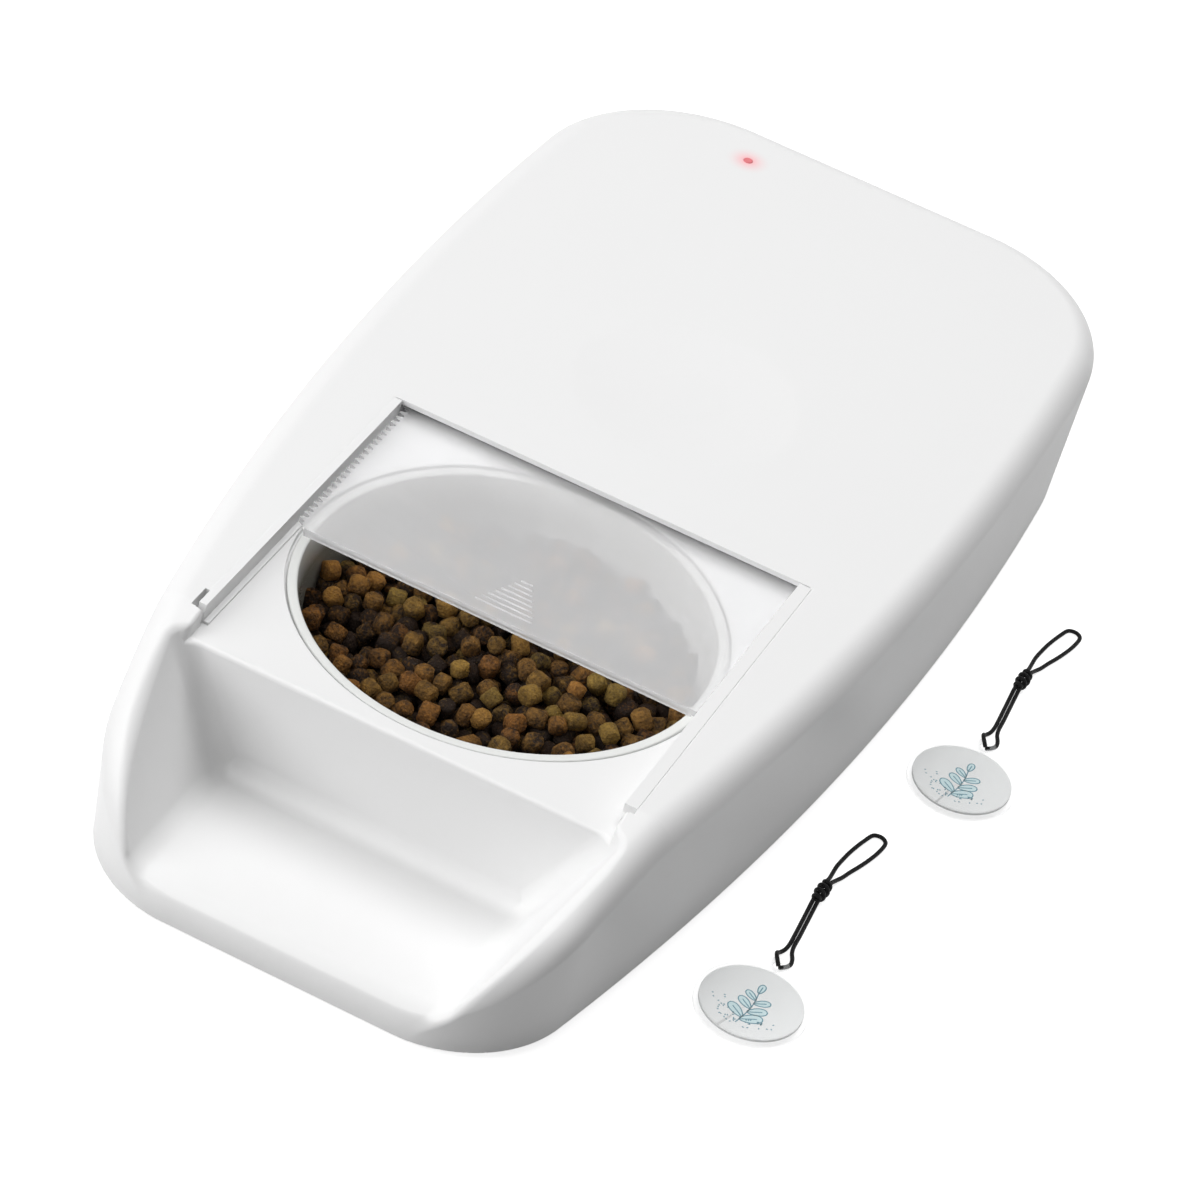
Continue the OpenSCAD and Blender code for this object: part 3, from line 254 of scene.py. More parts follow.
def arc(cx: float, cy: float, radius: float, start: float, end: float, steps: int) -> list[Point]:
    """Points of an arc, angles in degrees."""
    turns = [math.radians(start + (end - start) * k / steps) for k in range(steps + 1)]
    return [(cx + radius * math.cos(t), cy + radius * math.sin(t)) for t in turns]


def prism_faces(count: int, start: int = 0) -> list[tuple[int, ...]]:
    """Faces between an outline, counter-clockwise from its far side, and its copy.

    Args:
        count: Corners of the outline.
        start: Number of the outline's first point.

    Returns:
        Both ends and the sides.
    """
    first = [start + k for k in range(count)]
    second = [k + count for k in first]
    ahead = first[1:] + first[:1]
    return [tuple(first[::-1]), tuple(second)] + [(k, n, n + count, k + count) for k, n in zip(first, ahead)]


def rod_tool(radius: float, low: float, high: float, centre: Vec, segments: int, axis: str = "z") -> Piece:
    """Round cutting tool between two heights on an axis."""
    profile = [(0.0, low), (radius, low), (radius, high), (0.0, high)]
    return lathe("rod_tool", profile, centre, segments, axis)


def box_tool(low: Vec, high: Vec) -> Piece:
    """Cutting box between two corners in mm."""
    points = [(x, y, z) for z in (low[2], high[2]) for y in (low[1], high[1]) for x in (low[0], high[0])]
    faces = [(0, 2, 3, 1), (4, 5, 7, 6), (0, 1, 5, 4), (2, 6, 7, 3), (0, 4, 6, 2), (1, 3, 7, 5)]
    return new_piece("box_tool", np.array(points), faces)


def cut(piece: Piece, tool: Piece, operation: str = "DIFFERENCE") -> None:
    """Takes a tool's volume from a piece, or joins it, and drops the tool.

    Args:
        piece: The piece.
        tool: The closed object that is taken away or joined.
        operation: "DIFFERENCE" or "UNION".
    """
    before = len(piece.data.vertices)
    kept = piece.data.copy()
    for solver in ("MANIFOLD", "EXACT"):
        modifier = piece.modifiers.new("cut", "BOOLEAN")
        modifier.operation, modifier.object, modifier.solver = operation, tool, solver
        bake_modifiers(piece)
        if len(piece.data.vertices) not in (0, before):
            break
        if solver == "MANIFOLD":
            piece.data = kept
    drop(tool)


def catmull(points: Sequence[Vec], per_span: int) -> list[Vec]:
    """Smooth curve through points.

    Args:
        points: Points that the curve passes.
        per_span: Steps between two points.

    Returns:
        The curve's points, the first and last included.
    """
    p = [np.array(q, float) for q in points]
    p = [2 * p[0] - p[1]] + p + [2 * p[-1] - p[-2]]
    out = []
    for i in range(1, len(p) - 2):
        for k in range(per_span):
            t = k / per_span
            a, b, c, d = p[i - 1], p[i], p[i + 1], p[i + 2]
            q = 0.5 * (2 * b + (c - a) * t + (2 * a - 5 * b + 4 * c - d) * t * t + (3 * b - a - 3 * c + d) * t**3)
            out.append(tuple(q))
    out.append(tuple(p[-2]))
    return out


def tube(name: str, path: Sequence[Vec], radius: float, sides: int, turns_per_mm: float) -> Piece:
    """Sweeps a round tube along a path, with a UV map that runs along it.

    Args:
        name: Name of the piece.
        path: Centre line in mm.
        radius: Radius in mm.
        sides: Corners of the section.
        turns_per_mm: Scale of the UV map along the path.

    Returns:
        A closed tube.
    """
    line = np.array(path)
    heading = np.gradient(line, axis=0)
    heading /= np.linalg.norm(heading, axis=1)[:, None]
    side = np.cross(heading[0], (0.0, 0.0, 1.0))
    if np.linalg.norm(side) < 0.3:
        side = np.cross(heading[0], (1.0, 0.0, 0.0))
    points, ring_sides = [], []
    for t in heading:
        side = side - t * float(side @ t)
        side /= np.linalg.norm(side)
        ring_sides.append(side.copy())
    for centre, t, s in zip(line, heading, ring_sides):
        up = np.cross(s, t)
        for k in range(sides):
            turn = 2 * math.pi * k / sides
            points.append(centre + radius * (math.cos(turn) * s + math.sin(turn) * up))
    faces, uvs = [], []
    along = np.concatenate([[0.0], np.cumsum(np.linalg.norm(np.diff(line, axis=0), axis=1))]) * turns_per_mm
    for i in range(len(line) - 1):
        for k in range(sides):
            n = (k + 1) % sides
            faces.append((i * sides + k, (i + 1) * sides + k, (i + 1) * sides + n, i * sides + n))
            uvs += [
                (k / sides, along[i]),
                (k / sides, along[i + 1]),
                ((k + 1) / sides, along[i + 1]),
                ((k + 1) / sides, along[i]),
            ]
    last = (len(line) - 1) * sides
    faces.append(tuple(range(sides)))
    faces.append(tuple(range(last + sides - 1, last - 1, -1)))
    uvs += [(0.5, along[0])] * sides + [(0.5, along[-1])] * sides
    piece = new_piece(name, np.array(points), faces)
    layer = piece.data.uv_layers.new(name="along")
    layer.data.foreach_set("uv", [v for uv in uvs for v in uv])
    smooth_all(piece)
    return piece


# Shader node groups


class Bench:
    """Adds and links nodes of one tree."""

    def __init__(self, tree: NodeTree) -> None:
        """Keeps the tree."""
        self.tree = tree

    def add(self, kind: str, values: Optional[dict] = None, **settings: object) -> Node:
        """Adds a node.

        Args:
            kind: Blender's name of the node type.
            values: Input name or number to a value or an output socket.
            settings: Attributes of the node.

        Returns:
            The node.
        """
        node = self.tree.nodes.new(kind)
        for key, value in settings.items():
            setattr(node, key, value)
        for key, value in (values or {}).items():
            self.feed(node, key, value)
        return node

    def feed(self, node: Node, key: object, value: object) -> None:
        """Sets or links one input of a node."""
        socket = node.inputs[key]
        if isinstance(value, Socket):
            self.tree.links.new(value, socket)
        elif socket.type == "RGBA" and len(value) == 3:
            socket.default_value = (*value, 1.0)
        else:
            socket.default_value = value

    def math(self, operation: str, a: object, b: object = 0.0, clamp: bool = False) -> Socket:
        """Output of a Math node."""
        node = self.add("ShaderNodeMath", {0: a, 1: b}, operation=operation, use_clamp=clamp)
        return node.outputs[0]

    def ramp(
        self, value: object, low: object, high: object, to_low: float = 0.0, to_high: float = 1.0
    ) -> Socket:
        """Output of a clamped Map Range node."""
        node = self.add("ShaderNodeMapRange", {0: value, 1: low, 2: high, 3: to_low, 4: to_high})
        return node.outputs[0]

    def blend(self, factor: object, a: object, b: object) -> Socket:
        """Mixes two colours."""
        node = self.add("ShaderNodeMix", {0: factor, 6: a, 7: b}, data_type="RGBA")
        return node.outputs[2]

    def noise(self, vector: object, scale: float, detail: float = 3.0, rough: float = 0.5) -> Socket:
        """Value of a noise texture."""
        values = {"Vector": vector, "Scale": scale, "Detail": detail, "Roughness": rough}
        return self.add("ShaderNodeTexNoise", values).outputs[0]

    def tint(self, colour: object, factor: Socket) -> Socket:
        """A colour or a vector times a value."""
        return self.add("ShaderNodeVectorMath", {0: colour, "Scale": factor}, operation="SCALE").outputs[0]


def new_group(name: str, inputs: Sequence[tuple[str, str, object]], outputs: Sequence[tuple[str, str]]) -> Bench:
    """Starts a shader node group.

    Args:
        name: Name of the group.
        inputs: Name, socket type and start value of each input.
        outputs: Name and socket type of each output.

    Returns:
        The bench of the group's tree.
    """
    tree = bpy.data.node_groups.new(name, "ShaderNodeTree")
    for label, kind, value in inputs:
        socket = tree.interface.new_socket(label, in_out="INPUT", socket_type=kind)
        if value is not None:
            socket.default_value = value
    for label, kind in outputs:
        tree.interface.new_socket(label, in_out="OUTPUT", socket_type=kind)
    return Bench(tree)


FLOAT = "NodeSocketFloat"
VECTOR = "NodeSocketVector"


def build_moulding_grain() -> NodeTree:
    """Fine spark-eroded grain and slow unevenness of moulded plastic.

    Returns:
        A group with the outputs Height, Roughness and Shade.
    """
    bench = new_group(
        "moulding_grain",
        [
            ("Vector", VECTOR, None),
            ("Grain Scale", FLOAT, 2200.0),
            ("Roughness", FLOAT, 0.4),
            ("Mottle", FLOAT, 0.02),
        ],
        [("Height", FLOAT), ("Roughness", FLOAT), ("Shade", FLOAT)],
    )
    source = bench.add("NodeGroupInput").outputs
    fine = bench.noise(source["Vector"], 1.0, 2.0)
    bench.feed(fine.node, "Scale", source["Grain Scale"])
    slow = bench.noise(source["Vector"], 34.0, 3.0)
    flow = bench.noise(source["Vector"], 9.0, 2.0)
    height = bench.math("ADD", fine, bench.math("MULTIPLY", slow, 0.6))
    uneven = bench.math("SUBTRACT", bench.math("MULTIPLY", bench.math("ADD", slow, fine), 0.5), 0.5)
    rough = bench.math("ADD", source["Roughness"], bench.math("MULTIPLY", uneven, 0.22), clamp=True)
    swing = bench.math("MULTIPLY", bench.math("SUBTRACT", flow, 0.5), source["Mottle"])
    shade = bench.math("ADD", 1.0, swing)
    bench.add("NodeGroupOutput", {"Height": height, "Roughness": rough, "Shade": shade})
    return bench.tree


def build_floor_dust() -> NodeTree:
    """Faint dirt that gathers near the floor and in patches.

    Returns:
        A group with the output Mask.
    """
    bench = new_group(
        "floor_dust",
        [("Vector", VECTOR, None), ("Height", FLOAT, 0.012), ("Amount", FLOAT, 0.5)],
        [("Mask", FLOAT)],
    )
    source = bench.add("NodeGroupInput").outputs
    parts = bench.add("ShaderNodeSeparateXYZ", {0: source["Vector"]})
    low = bench.math("SUBTRACT", 1.0, bench.math("DIVIDE", parts.outputs[2], source["Height"]), clamp=True)
    patches = bench.ramp(bench.noise(source["Vector"], 60.0, 5.0, 0.65), 0.4, 0.75)
    mask = bench.math("MULTIPLY", bench.math("MULTIPLY", low, patches), source["Amount"], clamp=True)
    bench.add("NodeGroupOutput", {"Mask": mask})
    return bench.tree


def build_brushing() -> NodeTree:
    """Fine lines of drawn or turned metal.

    Returns:
        A group with the outputs Height and Roughness.
    """
    bench = new_group(
        "metal_lines",
        [("Vector", VECTOR, None), ("Roughness", FLOAT, 0.3), ("Depth", FLOAT, 1.0)],
        [("Height", FLOAT), ("Roughness", FLOAT)],
    )
    source = bench.add("NodeGroupInput").outputs
    stretch = bench.add("ShaderNodeMapping", {"Vector": source["Vector"], "Scale": (260.0, 260.0, 5200.0)})
    lines = bench.noise(stretch.outputs[0], 1.0, 3.0, 0.6)
    height = bench.math("MULTIPLY", lines, source["Depth"])
    rough = bench.math("ADD", source["Roughness"], bench.ramp(lines, 0.3, 0.7, -0.06, 0.12), clamp=True)
    bench.add("NodeGroupOutput", {"Height": height, "Roughness": rough})
    return bench.tree


def build_braid() -> NodeTree:
    """Crossing strands of a braided cord, on a UV map that runs along it.

    Returns:
        A group with the outputs Height and Shade.
    """
    bench = new_group(
        "cord_braid",
        [("Vector", VECTOR, None), ("Strands", FLOAT, 4.0)],
        [("Height", FLOAT), ("Shade", FLOAT)],
    )
    source = bench.add("NodeGroupInput").outputs
    parts = bench.add("ShaderNodeSeparateXYZ", {0: source["Vector"]})
    across = bench.math("MULTIPLY", parts.outputs[0], source["Strands"])
    waves = []
    for sign in ("ADD", "SUBTRACT"):
        phase = bench.math("MULTIPLY", bench.math(sign, across, parts.outputs[1]), 2 * math.pi)
        waves.append(bench.math("SINE", phase))
    height = bench.math("MAXIMUM", waves[0], waves[1])
    # Painted shade: darker in the grooves between strands
    shade = bench.ramp(height, -0.8, 1.0, 0.35, 1.0)
    bench.add("NodeGroupOutput", {"Height": height, "Shade": shade})
    return bench.tree


class Groups:
    """Shared shader groups, each built once."""

    _built: dict[str, NodeTree] = {}

    @classmethod
    def get(cls, builder: Callable[[], NodeTree]) -> NodeTree:
        """The tree of a builder, made on first use."""
        if builder.__name__ not in cls._built:
            cls._built[builder.__name__] = builder()
        return cls._built[builder.__name__]

    @classmethod
    def place(cls, bench: Bench, builder: Callable[[], NodeTree], values: dict) -> Node:
        """Adds a group to a material's tree and sets its inputs."""
        node = bench.tree.nodes.new("ShaderNodeGroup")
        node.node_tree = cls.get(builder)
        for key, value in values.items():
            bench.feed(node, key, value)
        return node


# Finishes


def start_material(name: str) -> tuple[Material, Bench, Node, Socket]:
    """Starts a material with one Principled shader.

    Args:
        name: Name of the material.

    Returns:
        The material, its bench, the shader node and the Object coordinate output.
    """
    material = bpy.data.materials.new(name)
    material.use_nodes = True
    tree = material.node_tree
    tree.nodes.clear()
    bench = Bench(tree)
    shader = bench.add("ShaderNodeBsdfPrincipled")
    bench.add("ShaderNodeOutputMaterial", {"Surface": shader.outputs[0]})
    place = bench.add("ShaderNodeTexCoord").outputs["Object"]
    return material, bench, shader, place


def raise_surface(bench: Bench, shader: Node, height: object, distance: float, strength: float) -> None:
    """Feeds a height through a Bump node to a shader's normal."""
    bump = bench.add("ShaderNodeBump", {"Height": height, "Distance": distance, "Strength": strength})
    bench.feed(shader, "Normal", bump.outputs[0])


# Where painted shade lies thick and thin on the bowl's wall, along x and below its upper limit, in metres; it is
# darkest to the left, where the wall lies in shade
SHADE_SPAN = (-0.075, -0.02)
SHADE_LEAST = 0.25
SHADE_FADE = 0.01
# How a colour turns where dust lies on it
DUST_SHARE = 0.55
DUST_GREY = 0.1
# Reach and colour of the lamp's light in the plastic round it
GLOW_R = 0.0085
GLOW = srgb(250, 158, 166)


@dataclass(frozen=True)
class Moulded:
    """Moulded opaque plastic or rubber, dirtied near the floor; where a shade colour is given, painted shade takes
    the place of the dirt.
    """

    name: str
    colour: Colour
    roughness: float = 0.42
    grain_scale: float = 2200.0
    grain_depth: float = 0.00003
    grain_strength: float = 0.25
    mottle: float = 0.02
    # Strength and upper limit of the dirt near the floor, and of the painted shade where a shade colour is given
    dust_and_shade: float = 0.25
    dust_and_shade_height: float = 0.012
    specular: float = 0.5
    lamp: Optional[Vec] = None
    # Colour of painted shade, darker low on the bowl's wall and to the left
    painted_shade: Optional[Colour] = None

    def build(self) -> Material:
        """Makes the material."""
        material, bench, shader, place = start_material(self.name)
        grain = Groups.place(
            bench,
            build_moulding_grain,
            {"Vector": place, "Grain Scale": self.grain_scale, "Roughness": self.roughness, "Mottle": self.mottle},
        )
        if self.painted_shade is None:
            values = {"Vector": place, "Height": self.dust_and_shade_height, "Amount": self.dust_and_shade}
            mask = Groups.place(bench, build_floor_dust, values).outputs[0]
            dust_and_shade_colour = tuple(DUST_SHARE * c + DUST_GREY for c in self.colour)
        else:
            # Painted shade: darker below the upper limit and towards the left, where the bowl's wall lies in shade
            parts = bench.add("ShaderNodeSeparateXYZ", {0: place}).outputs
            low = bench.ramp(parts[2], self.dust_and_shade_height - SHADE_FADE, self.dust_and_shade_height, self.dust_and_shade, 0.0)
            mask = bench.math("MULTIPLY", low, bench.ramp(parts[0], *SHADE_SPAN, 1.0, SHADE_LEAST))
            dust_and_shade_colour = self.painted_shade
        colour = bench.blend(mask, bench.tint(self.colour, grain.outputs["Shade"]), dust_and_shade_colour)
        if self.lamp is not None:
            values = {"Vector": place, "Lamp": self.lamp, "Radius": GLOW_R}
            glow = Groups.place(bench, build_lamp_glow, values)
            colour = bench.blend(glow.outputs[0], colour, GLOW)
        bench.feed(shader, "Base Color", colour)
        bench.feed(shader, "Roughness", grain.outputs["Roughness"])
        bench.feed(shader, "Specular IOR Level", self.specular)
        raise_surface(bench, shader, grain.outputs["Height"], self.grain_depth, self.grain_strength)
        return material


def build_lamp_glow() -> NodeTree:
    """Light of a small lamp that bleeds into the plastic round it.

    Returns:
        A group with the output Mask.
    """
    bench = new_group(
        "lamp_glow",
        [("Vector", VECTOR, None), ("Lamp", VECTOR, None), ("Radius", FLOAT, 0.004)],
        [("Mask", FLOAT)],
    )
    source = bench.add("NodeGroupInput").outputs
    away = bench.add("ShaderNodeVectorMath", {0: source["Vector"], 1: source["Lamp"]}, operation="DISTANCE")
    part = bench.math("DIVIDE", away.outputs["Value"], source["Radius"])
    mask = bench.math("POWER", bench.math("SUBTRACT", 1.0, part, clamp=True), 2.0)
    bench.add("NodeGroupOutput", {"Mask": mask})
    return bench.tree


@dataclass(frozen=True)
class Milky:
    """Clear plastic, with a milky veil or frosted through; some light passes as no shadow."""

    name: str
    colour: Colour
    veil: float = 0.0
    roughness: float = 0.12
    shadow: float = 0.3
    ior: float = 1.49
    frost: float = 0.0
    cloud_scale: float = 22.0
    smear_scale: float = 90.0
    ripple_scale: float = 160.0

    def opacity(self, bench: Bench, cloud: Socket) -> object:
        """Share of a veiled surface that hides what is behind it."""
        outward = bench.math("SUBTRACT", 1.0, bench.add("ShaderNodeNewGeometry").outputs["Backfacing"])
        fresnel = bench.add("ShaderNodeFresnel", {"IOR": self.ior}).outputs[0]
        gloss = bench.math("MULTIPLY", fresnel, outward)
        veil = bench.math("MULTIPLY", cloud, self.veil)
        clear = bench.math("SUBTRACT", 1.0, veil)
        return bench.math("ADD", veil, bench.math("MULTIPLY", clear, gloss), clamp=True)

    def build(self) -> Material:
        """Makes the material."""
        material, bench, shader, place = start_material(self.name)
        cloud = bench.ramp(bench.noise(place, self.cloud_scale), 0.3, 0.7, 0.97, 1.03)
        path = bench.add("ShaderNodeLightPath").outputs["Is Shadow Ray"]
        alpha = bench.math("SUBTRACT", 1.0, bench.math("MULTIPLY", path, 1.0 - self.shadow))
        if self.frost > 0:
            bench.feed(shader, "Transmission Weight", self.frost)
        else:
            alpha = bench.math("MULTIPLY", self.opacity(bench, cloud), alpha)
        bench.feed(shader, "Alpha", alpha)
        bench.feed(shader, "Base Color", bench.tint(self.colour, cloud))
        smear = bench.noise(place, self.smear_scale, 4.0, 0.6)
        bench.feed(shader, "Roughness", bench.ramp(smear, 0.35, 0.75, self.roughness * 0.8, self.roughness * 1.3))
        bench.feed(shader, "IOR", self.ior)
        raise_surface(bench, shader, bench.noise(place, self.ripple_scale, 2.0), 0.00002, 0.2)
        return material


@dataclass(frozen=True)
class Metal:
    """Plated, turned or drawn metal."""

    name: str
    colour: Colour
    roughness: float = 0.3
    depth: float = 1.0
    tarnish_scale: float = 140.0
    tarnish_share: float = 0.78

    def build(self) -> Material:
        """Makes the material."""
        material, bench, shader, place = start_material(self.name)
        lines = Groups.place(
            bench, build_brushing, {"Vector": place, "Roughness": self.roughness, "Depth": self.depth}
        )
        tarnish = bench.ramp(bench.noise(place, self.tarnish_scale, 4.0), 0.45, 0.8)
        dull = tuple(c * self.tarnish_share for c in self.colour)
        bench.feed(shader, "Base Color", bench.blend(tarnish, self.colour, dull))
        bench.feed(shader, "Roughness", lines.outputs["Roughness"])
        bench.feed(shader, "Metallic", 1.0)
        raise_surface(bench, shader, lines.outputs["Height"], 0.00002, 0.3)
        return material


@dataclass(frozen=True)
class Braided:
    """Braided cord with a soft sheen."""

    name: str
    colour: Colour
    strands: float = 4.0
    lint_scale: float = 1500.0

    def build(self) -> Material:
        """Makes the material."""
        material, bench, shader, place = start_material(self.name)
        along = bench.add("ShaderNodeUVMap", uv_map="along").outputs[0]
        braid = Groups.place(bench, build_braid, {"Vector": along, "Strands": self.strands})
        lint = bench.noise(place, self.lint_scale)
        shade = bench.math("MULTIPLY", braid.outputs["Shade"], bench.ramp(lint, 0.3, 0.7, 0.7, 1.3))
        bench.feed(shader, "Base Color", bench.tint(self.colour, shade))
        bench.feed(shader, "Roughness", bench.ramp(lint, 0.2, 0.8, 0.55, 0.8))
        bench.feed(shader, "Sheen Weight", 0.06)
        bench.feed(shader, "Specular IOR Level", 0.25)
        height = bench.math("ADD", braid.outputs["Height"], bench.math("MULTIPLY", lint, 0.5))
        raise_surface(bench, shader, height, 0.00012, 0.7)
        return material


@dataclass(frozen=True)
class DryFood:
    """Crumbly baked pellets whose colour changes from one to the next, with painted shade on those deep in the
    heap.
    """

    name: str
    dark: Colour
    light: Colour
    green: Colour
    crumb_scale: float = 900.0
    patch_scale: float = 260.0
    pore_scale: float = 1100.0

    def build(self) -> Material:
        """Makes the material."""
        material, bench, shader, place = start_material(self.name)
        # Each pellet's darkness is partly random and partly painted shade for pellets deep in the heap
        tone, hue = (bench.add("ShaderNodeAttribute", attribute_name=n).outputs["Fac"] for n in ("tone", "hue"))
        crumbs = bench.noise(place, self.crumb_scale, 5.0, 0.7)
        patches = bench.noise(place, self.patch_scale)
        mix = bench.math("ADD", bench.math("MULTIPLY", tone, 0.55), bench.ramp(patches, 0.3, 0.75, 0.0, 0.45))
        mix = bench.math("ADD", mix, bench.ramp(crumbs, 0.35, 0.7, -0.25, 0.3), clamp=True)
        warm = bench.blend(hue, self.light, self.green)
        bench.feed(shader, "Base Color", bench.blend(mix, self.dark, warm))
        bench.feed(shader, "Roughness", bench.ramp(crumbs, 0.3, 0.7, 0.55, 0.8))
        bench.feed(shader, "Specular IOR Level", 0.35)
        pores = bench.add("ShaderNodeTexVoronoi", {"Vector": place, "Scale": self.pore_scale}).outputs["Distance"]
        height = bench.math("ADD", crumbs, bench.math("MULTIPLY", pores, 0.5))
        raise_surface(bench, shader, height, 0.001, 1.0)
        return material


LAMP_AT: Vec = (-0.063, 0.1915, 0.0632)

FINISHES = {
    Slot.SHELL: Moulded("white_shell", (0.8, 0.8, 0.8), roughness=0.44, lamp=LAMP_AT),
    Slot.BASE: Moulded("grey_base", srgb(222, 222, 220), roughness=0.5, grain_strength=0.4),
    Slot.FOOT: Moulded("foot_rubber", srgb(42, 42, 44), roughness=0.75, grain_strength=0.6, mottle=0.2),
    Slot.SCREW: Metal("zinc_screws", srgb(190, 192, 196), 0.32),
    # The bowl's inner wall gets painted shade, darker low down and to the left
    Slot.BOWL: Moulded(
        "bowl_plastic",
        srgb(222, 223, 221),
        roughness=0.24,
        grain_strength=0.08,
        dust_and_shade=0.85,
        dust_and_shade_height=0.054,
        painted_shade=srgb(84, 80, 66),
    ),
    Slot.LID: Milky("milky_lid", (0.79, 0.79, 0.794), roughness=0.06, shadow=0.06, frost=0.69),
    Slot.NYLON: Moulded("nylon_gears", srgb(226, 220, 200), roughness=0.45, dust_and_shade=0.0),
    Slot.SHAFT: Metal("ground_steel", srgb(200, 201, 204), 0.18),
    Slot.BRASS: Metal("turned_brass", srgb(214, 176, 96), 0.25),
    Slot.MOTOR: Metal("motor_can", srgb(176, 178, 181), 0.35),
    Slot.COPPER: Metal("coil_copper", srgb(190, 112, 62), 0.3, 3.0),
    Slot.BOARD: Moulded("solder_mask", srgb(26, 88, 52), roughness=0.3, mottle=0.15, dust_and_shade=0.0),
    Slot.CHIP: Moulded("black_mouldings", srgb(30, 30, 32), roughness=0.5, mottle=0.1, dust_and_shade=0.0),
    Slot.SLEEVE: Moulded("capacitor_sleeve", srgb(34, 40, 84), roughness=0.3, mottle=0.1, dust_and_shade=0.0),
    Slot.SOCKET: Moulded("wire_sockets", srgb(226, 222, 208), roughness=0.45, dust_and_shade=0.0),
    Slot.LENS: Milky("red_lens", srgb(236, 128, 134), veil=0.86, shadow=0.7),
    Slot.BUTTON: Moulded("push_buttons", srgb(214, 214, 213), roughness=0.36, dust_and_shade=0.0),
    Slot.INNER: Moulded("inner_mouldings", srgb(216, 216, 212), roughness=0.5, dust_and_shade=0.0),
    Slot.CELL: Moulded("cell_jackets", srgb(62, 98, 140), roughness=0.3, mottle=0.1, dust_and_shade=0.0),
    Slot.CONTACT: Metal("contact_springs", srgb(206, 206, 206), 0.22),
    Slot.TAG: Milky("tag_plastic", srgb(232, 234, 234), veil=0.1, roughness=0.06, shadow=0.12),
    Slot.PRINT: Moulded("tag_card", srgb(228, 229, 229), roughness=0.35, mottle=0.03, dust_and_shade=0.0),
    Slot.CORD: Braided("black_braid", srgb(15, 15, 16)),
    Slot.KIBBLE: DryFood("dry_food", srgb(30, 17, 7), srgb(174, 118, 56), srgb(160, 130, 62)),
}

INK = Moulded("print_ink", srgb(80, 134, 150), roughness=0.4, mottle=0.7, dust_and_shade=0.0)
WASH = Moulded("print_wash", srgb(196, 220, 224), roughness=0.4, mottle=0.3, dust_and_shade=0.0)


class Wardrobe:
    """Builds each finish once and hands out its material."""

    _made: dict[str, Material] = {}

    @classmethod
    def material(cls, finish: object) -> Material:
        """The material of a finish."""
        if finish.name not in cls._made:
            cls._made[finish.name] = finish.build()
        return cls._made[finish.name]

    @classmethod
    def slot(cls, slot: Slot) -> Material:
        """The material of a record slot."""
        return cls.material(FINISHES[slot])


def settle(
    piece: Piece, body: Body, slot: Slot, replaced: Iterable[str] = (), finish: Optional[object] = None
) -> Piece:
    """Dresses a piece and puts it on its body.

    Args:
        piece: The piece.
        body: The body it moves with.
        slot: The record slot of its finish.
        replaced: CAD nodes that it stands for.
        finish: A finish of its own instead of the slot's.

    Returns:
        The piece.
    """
    wear(piece, Wardrobe.material(finish or FINISHES[slot]))
    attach(piece, body.value)
    nodes = list(replaced)
    if nodes:
        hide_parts(*nodes)
    log.info("%s: %d faces on %s", piece.name, len(piece.data.polygons), body.value)
    return piece


# Housing


Field = Callable[[Array, Array, Array], Array]


def both(a: Array, b: Array, radius: float) -> Array:
    """Field of what lies in two fields, with a rounded edge."""
    rounded = np.hypot(np.maximum(a + radius, 0), np.maximum(b + radius, 0)) - radius
    return np.where(np.maximum(a, b) < -radius, np.maximum(a, b), rounded)


def either(a: Array, b: Array, radius: float) -> Array:
    """Field of what lies in one of two fields, with a rounded edge."""
    return -both(-a, -b, radius)


def highest(*fields: Array) -> Array:
    """Field of what lies in every one of some fields, with sharp edges."""
    out = fields[0]
    for field in fields[1:]:
        out = np.maximum(out, field)
    return out


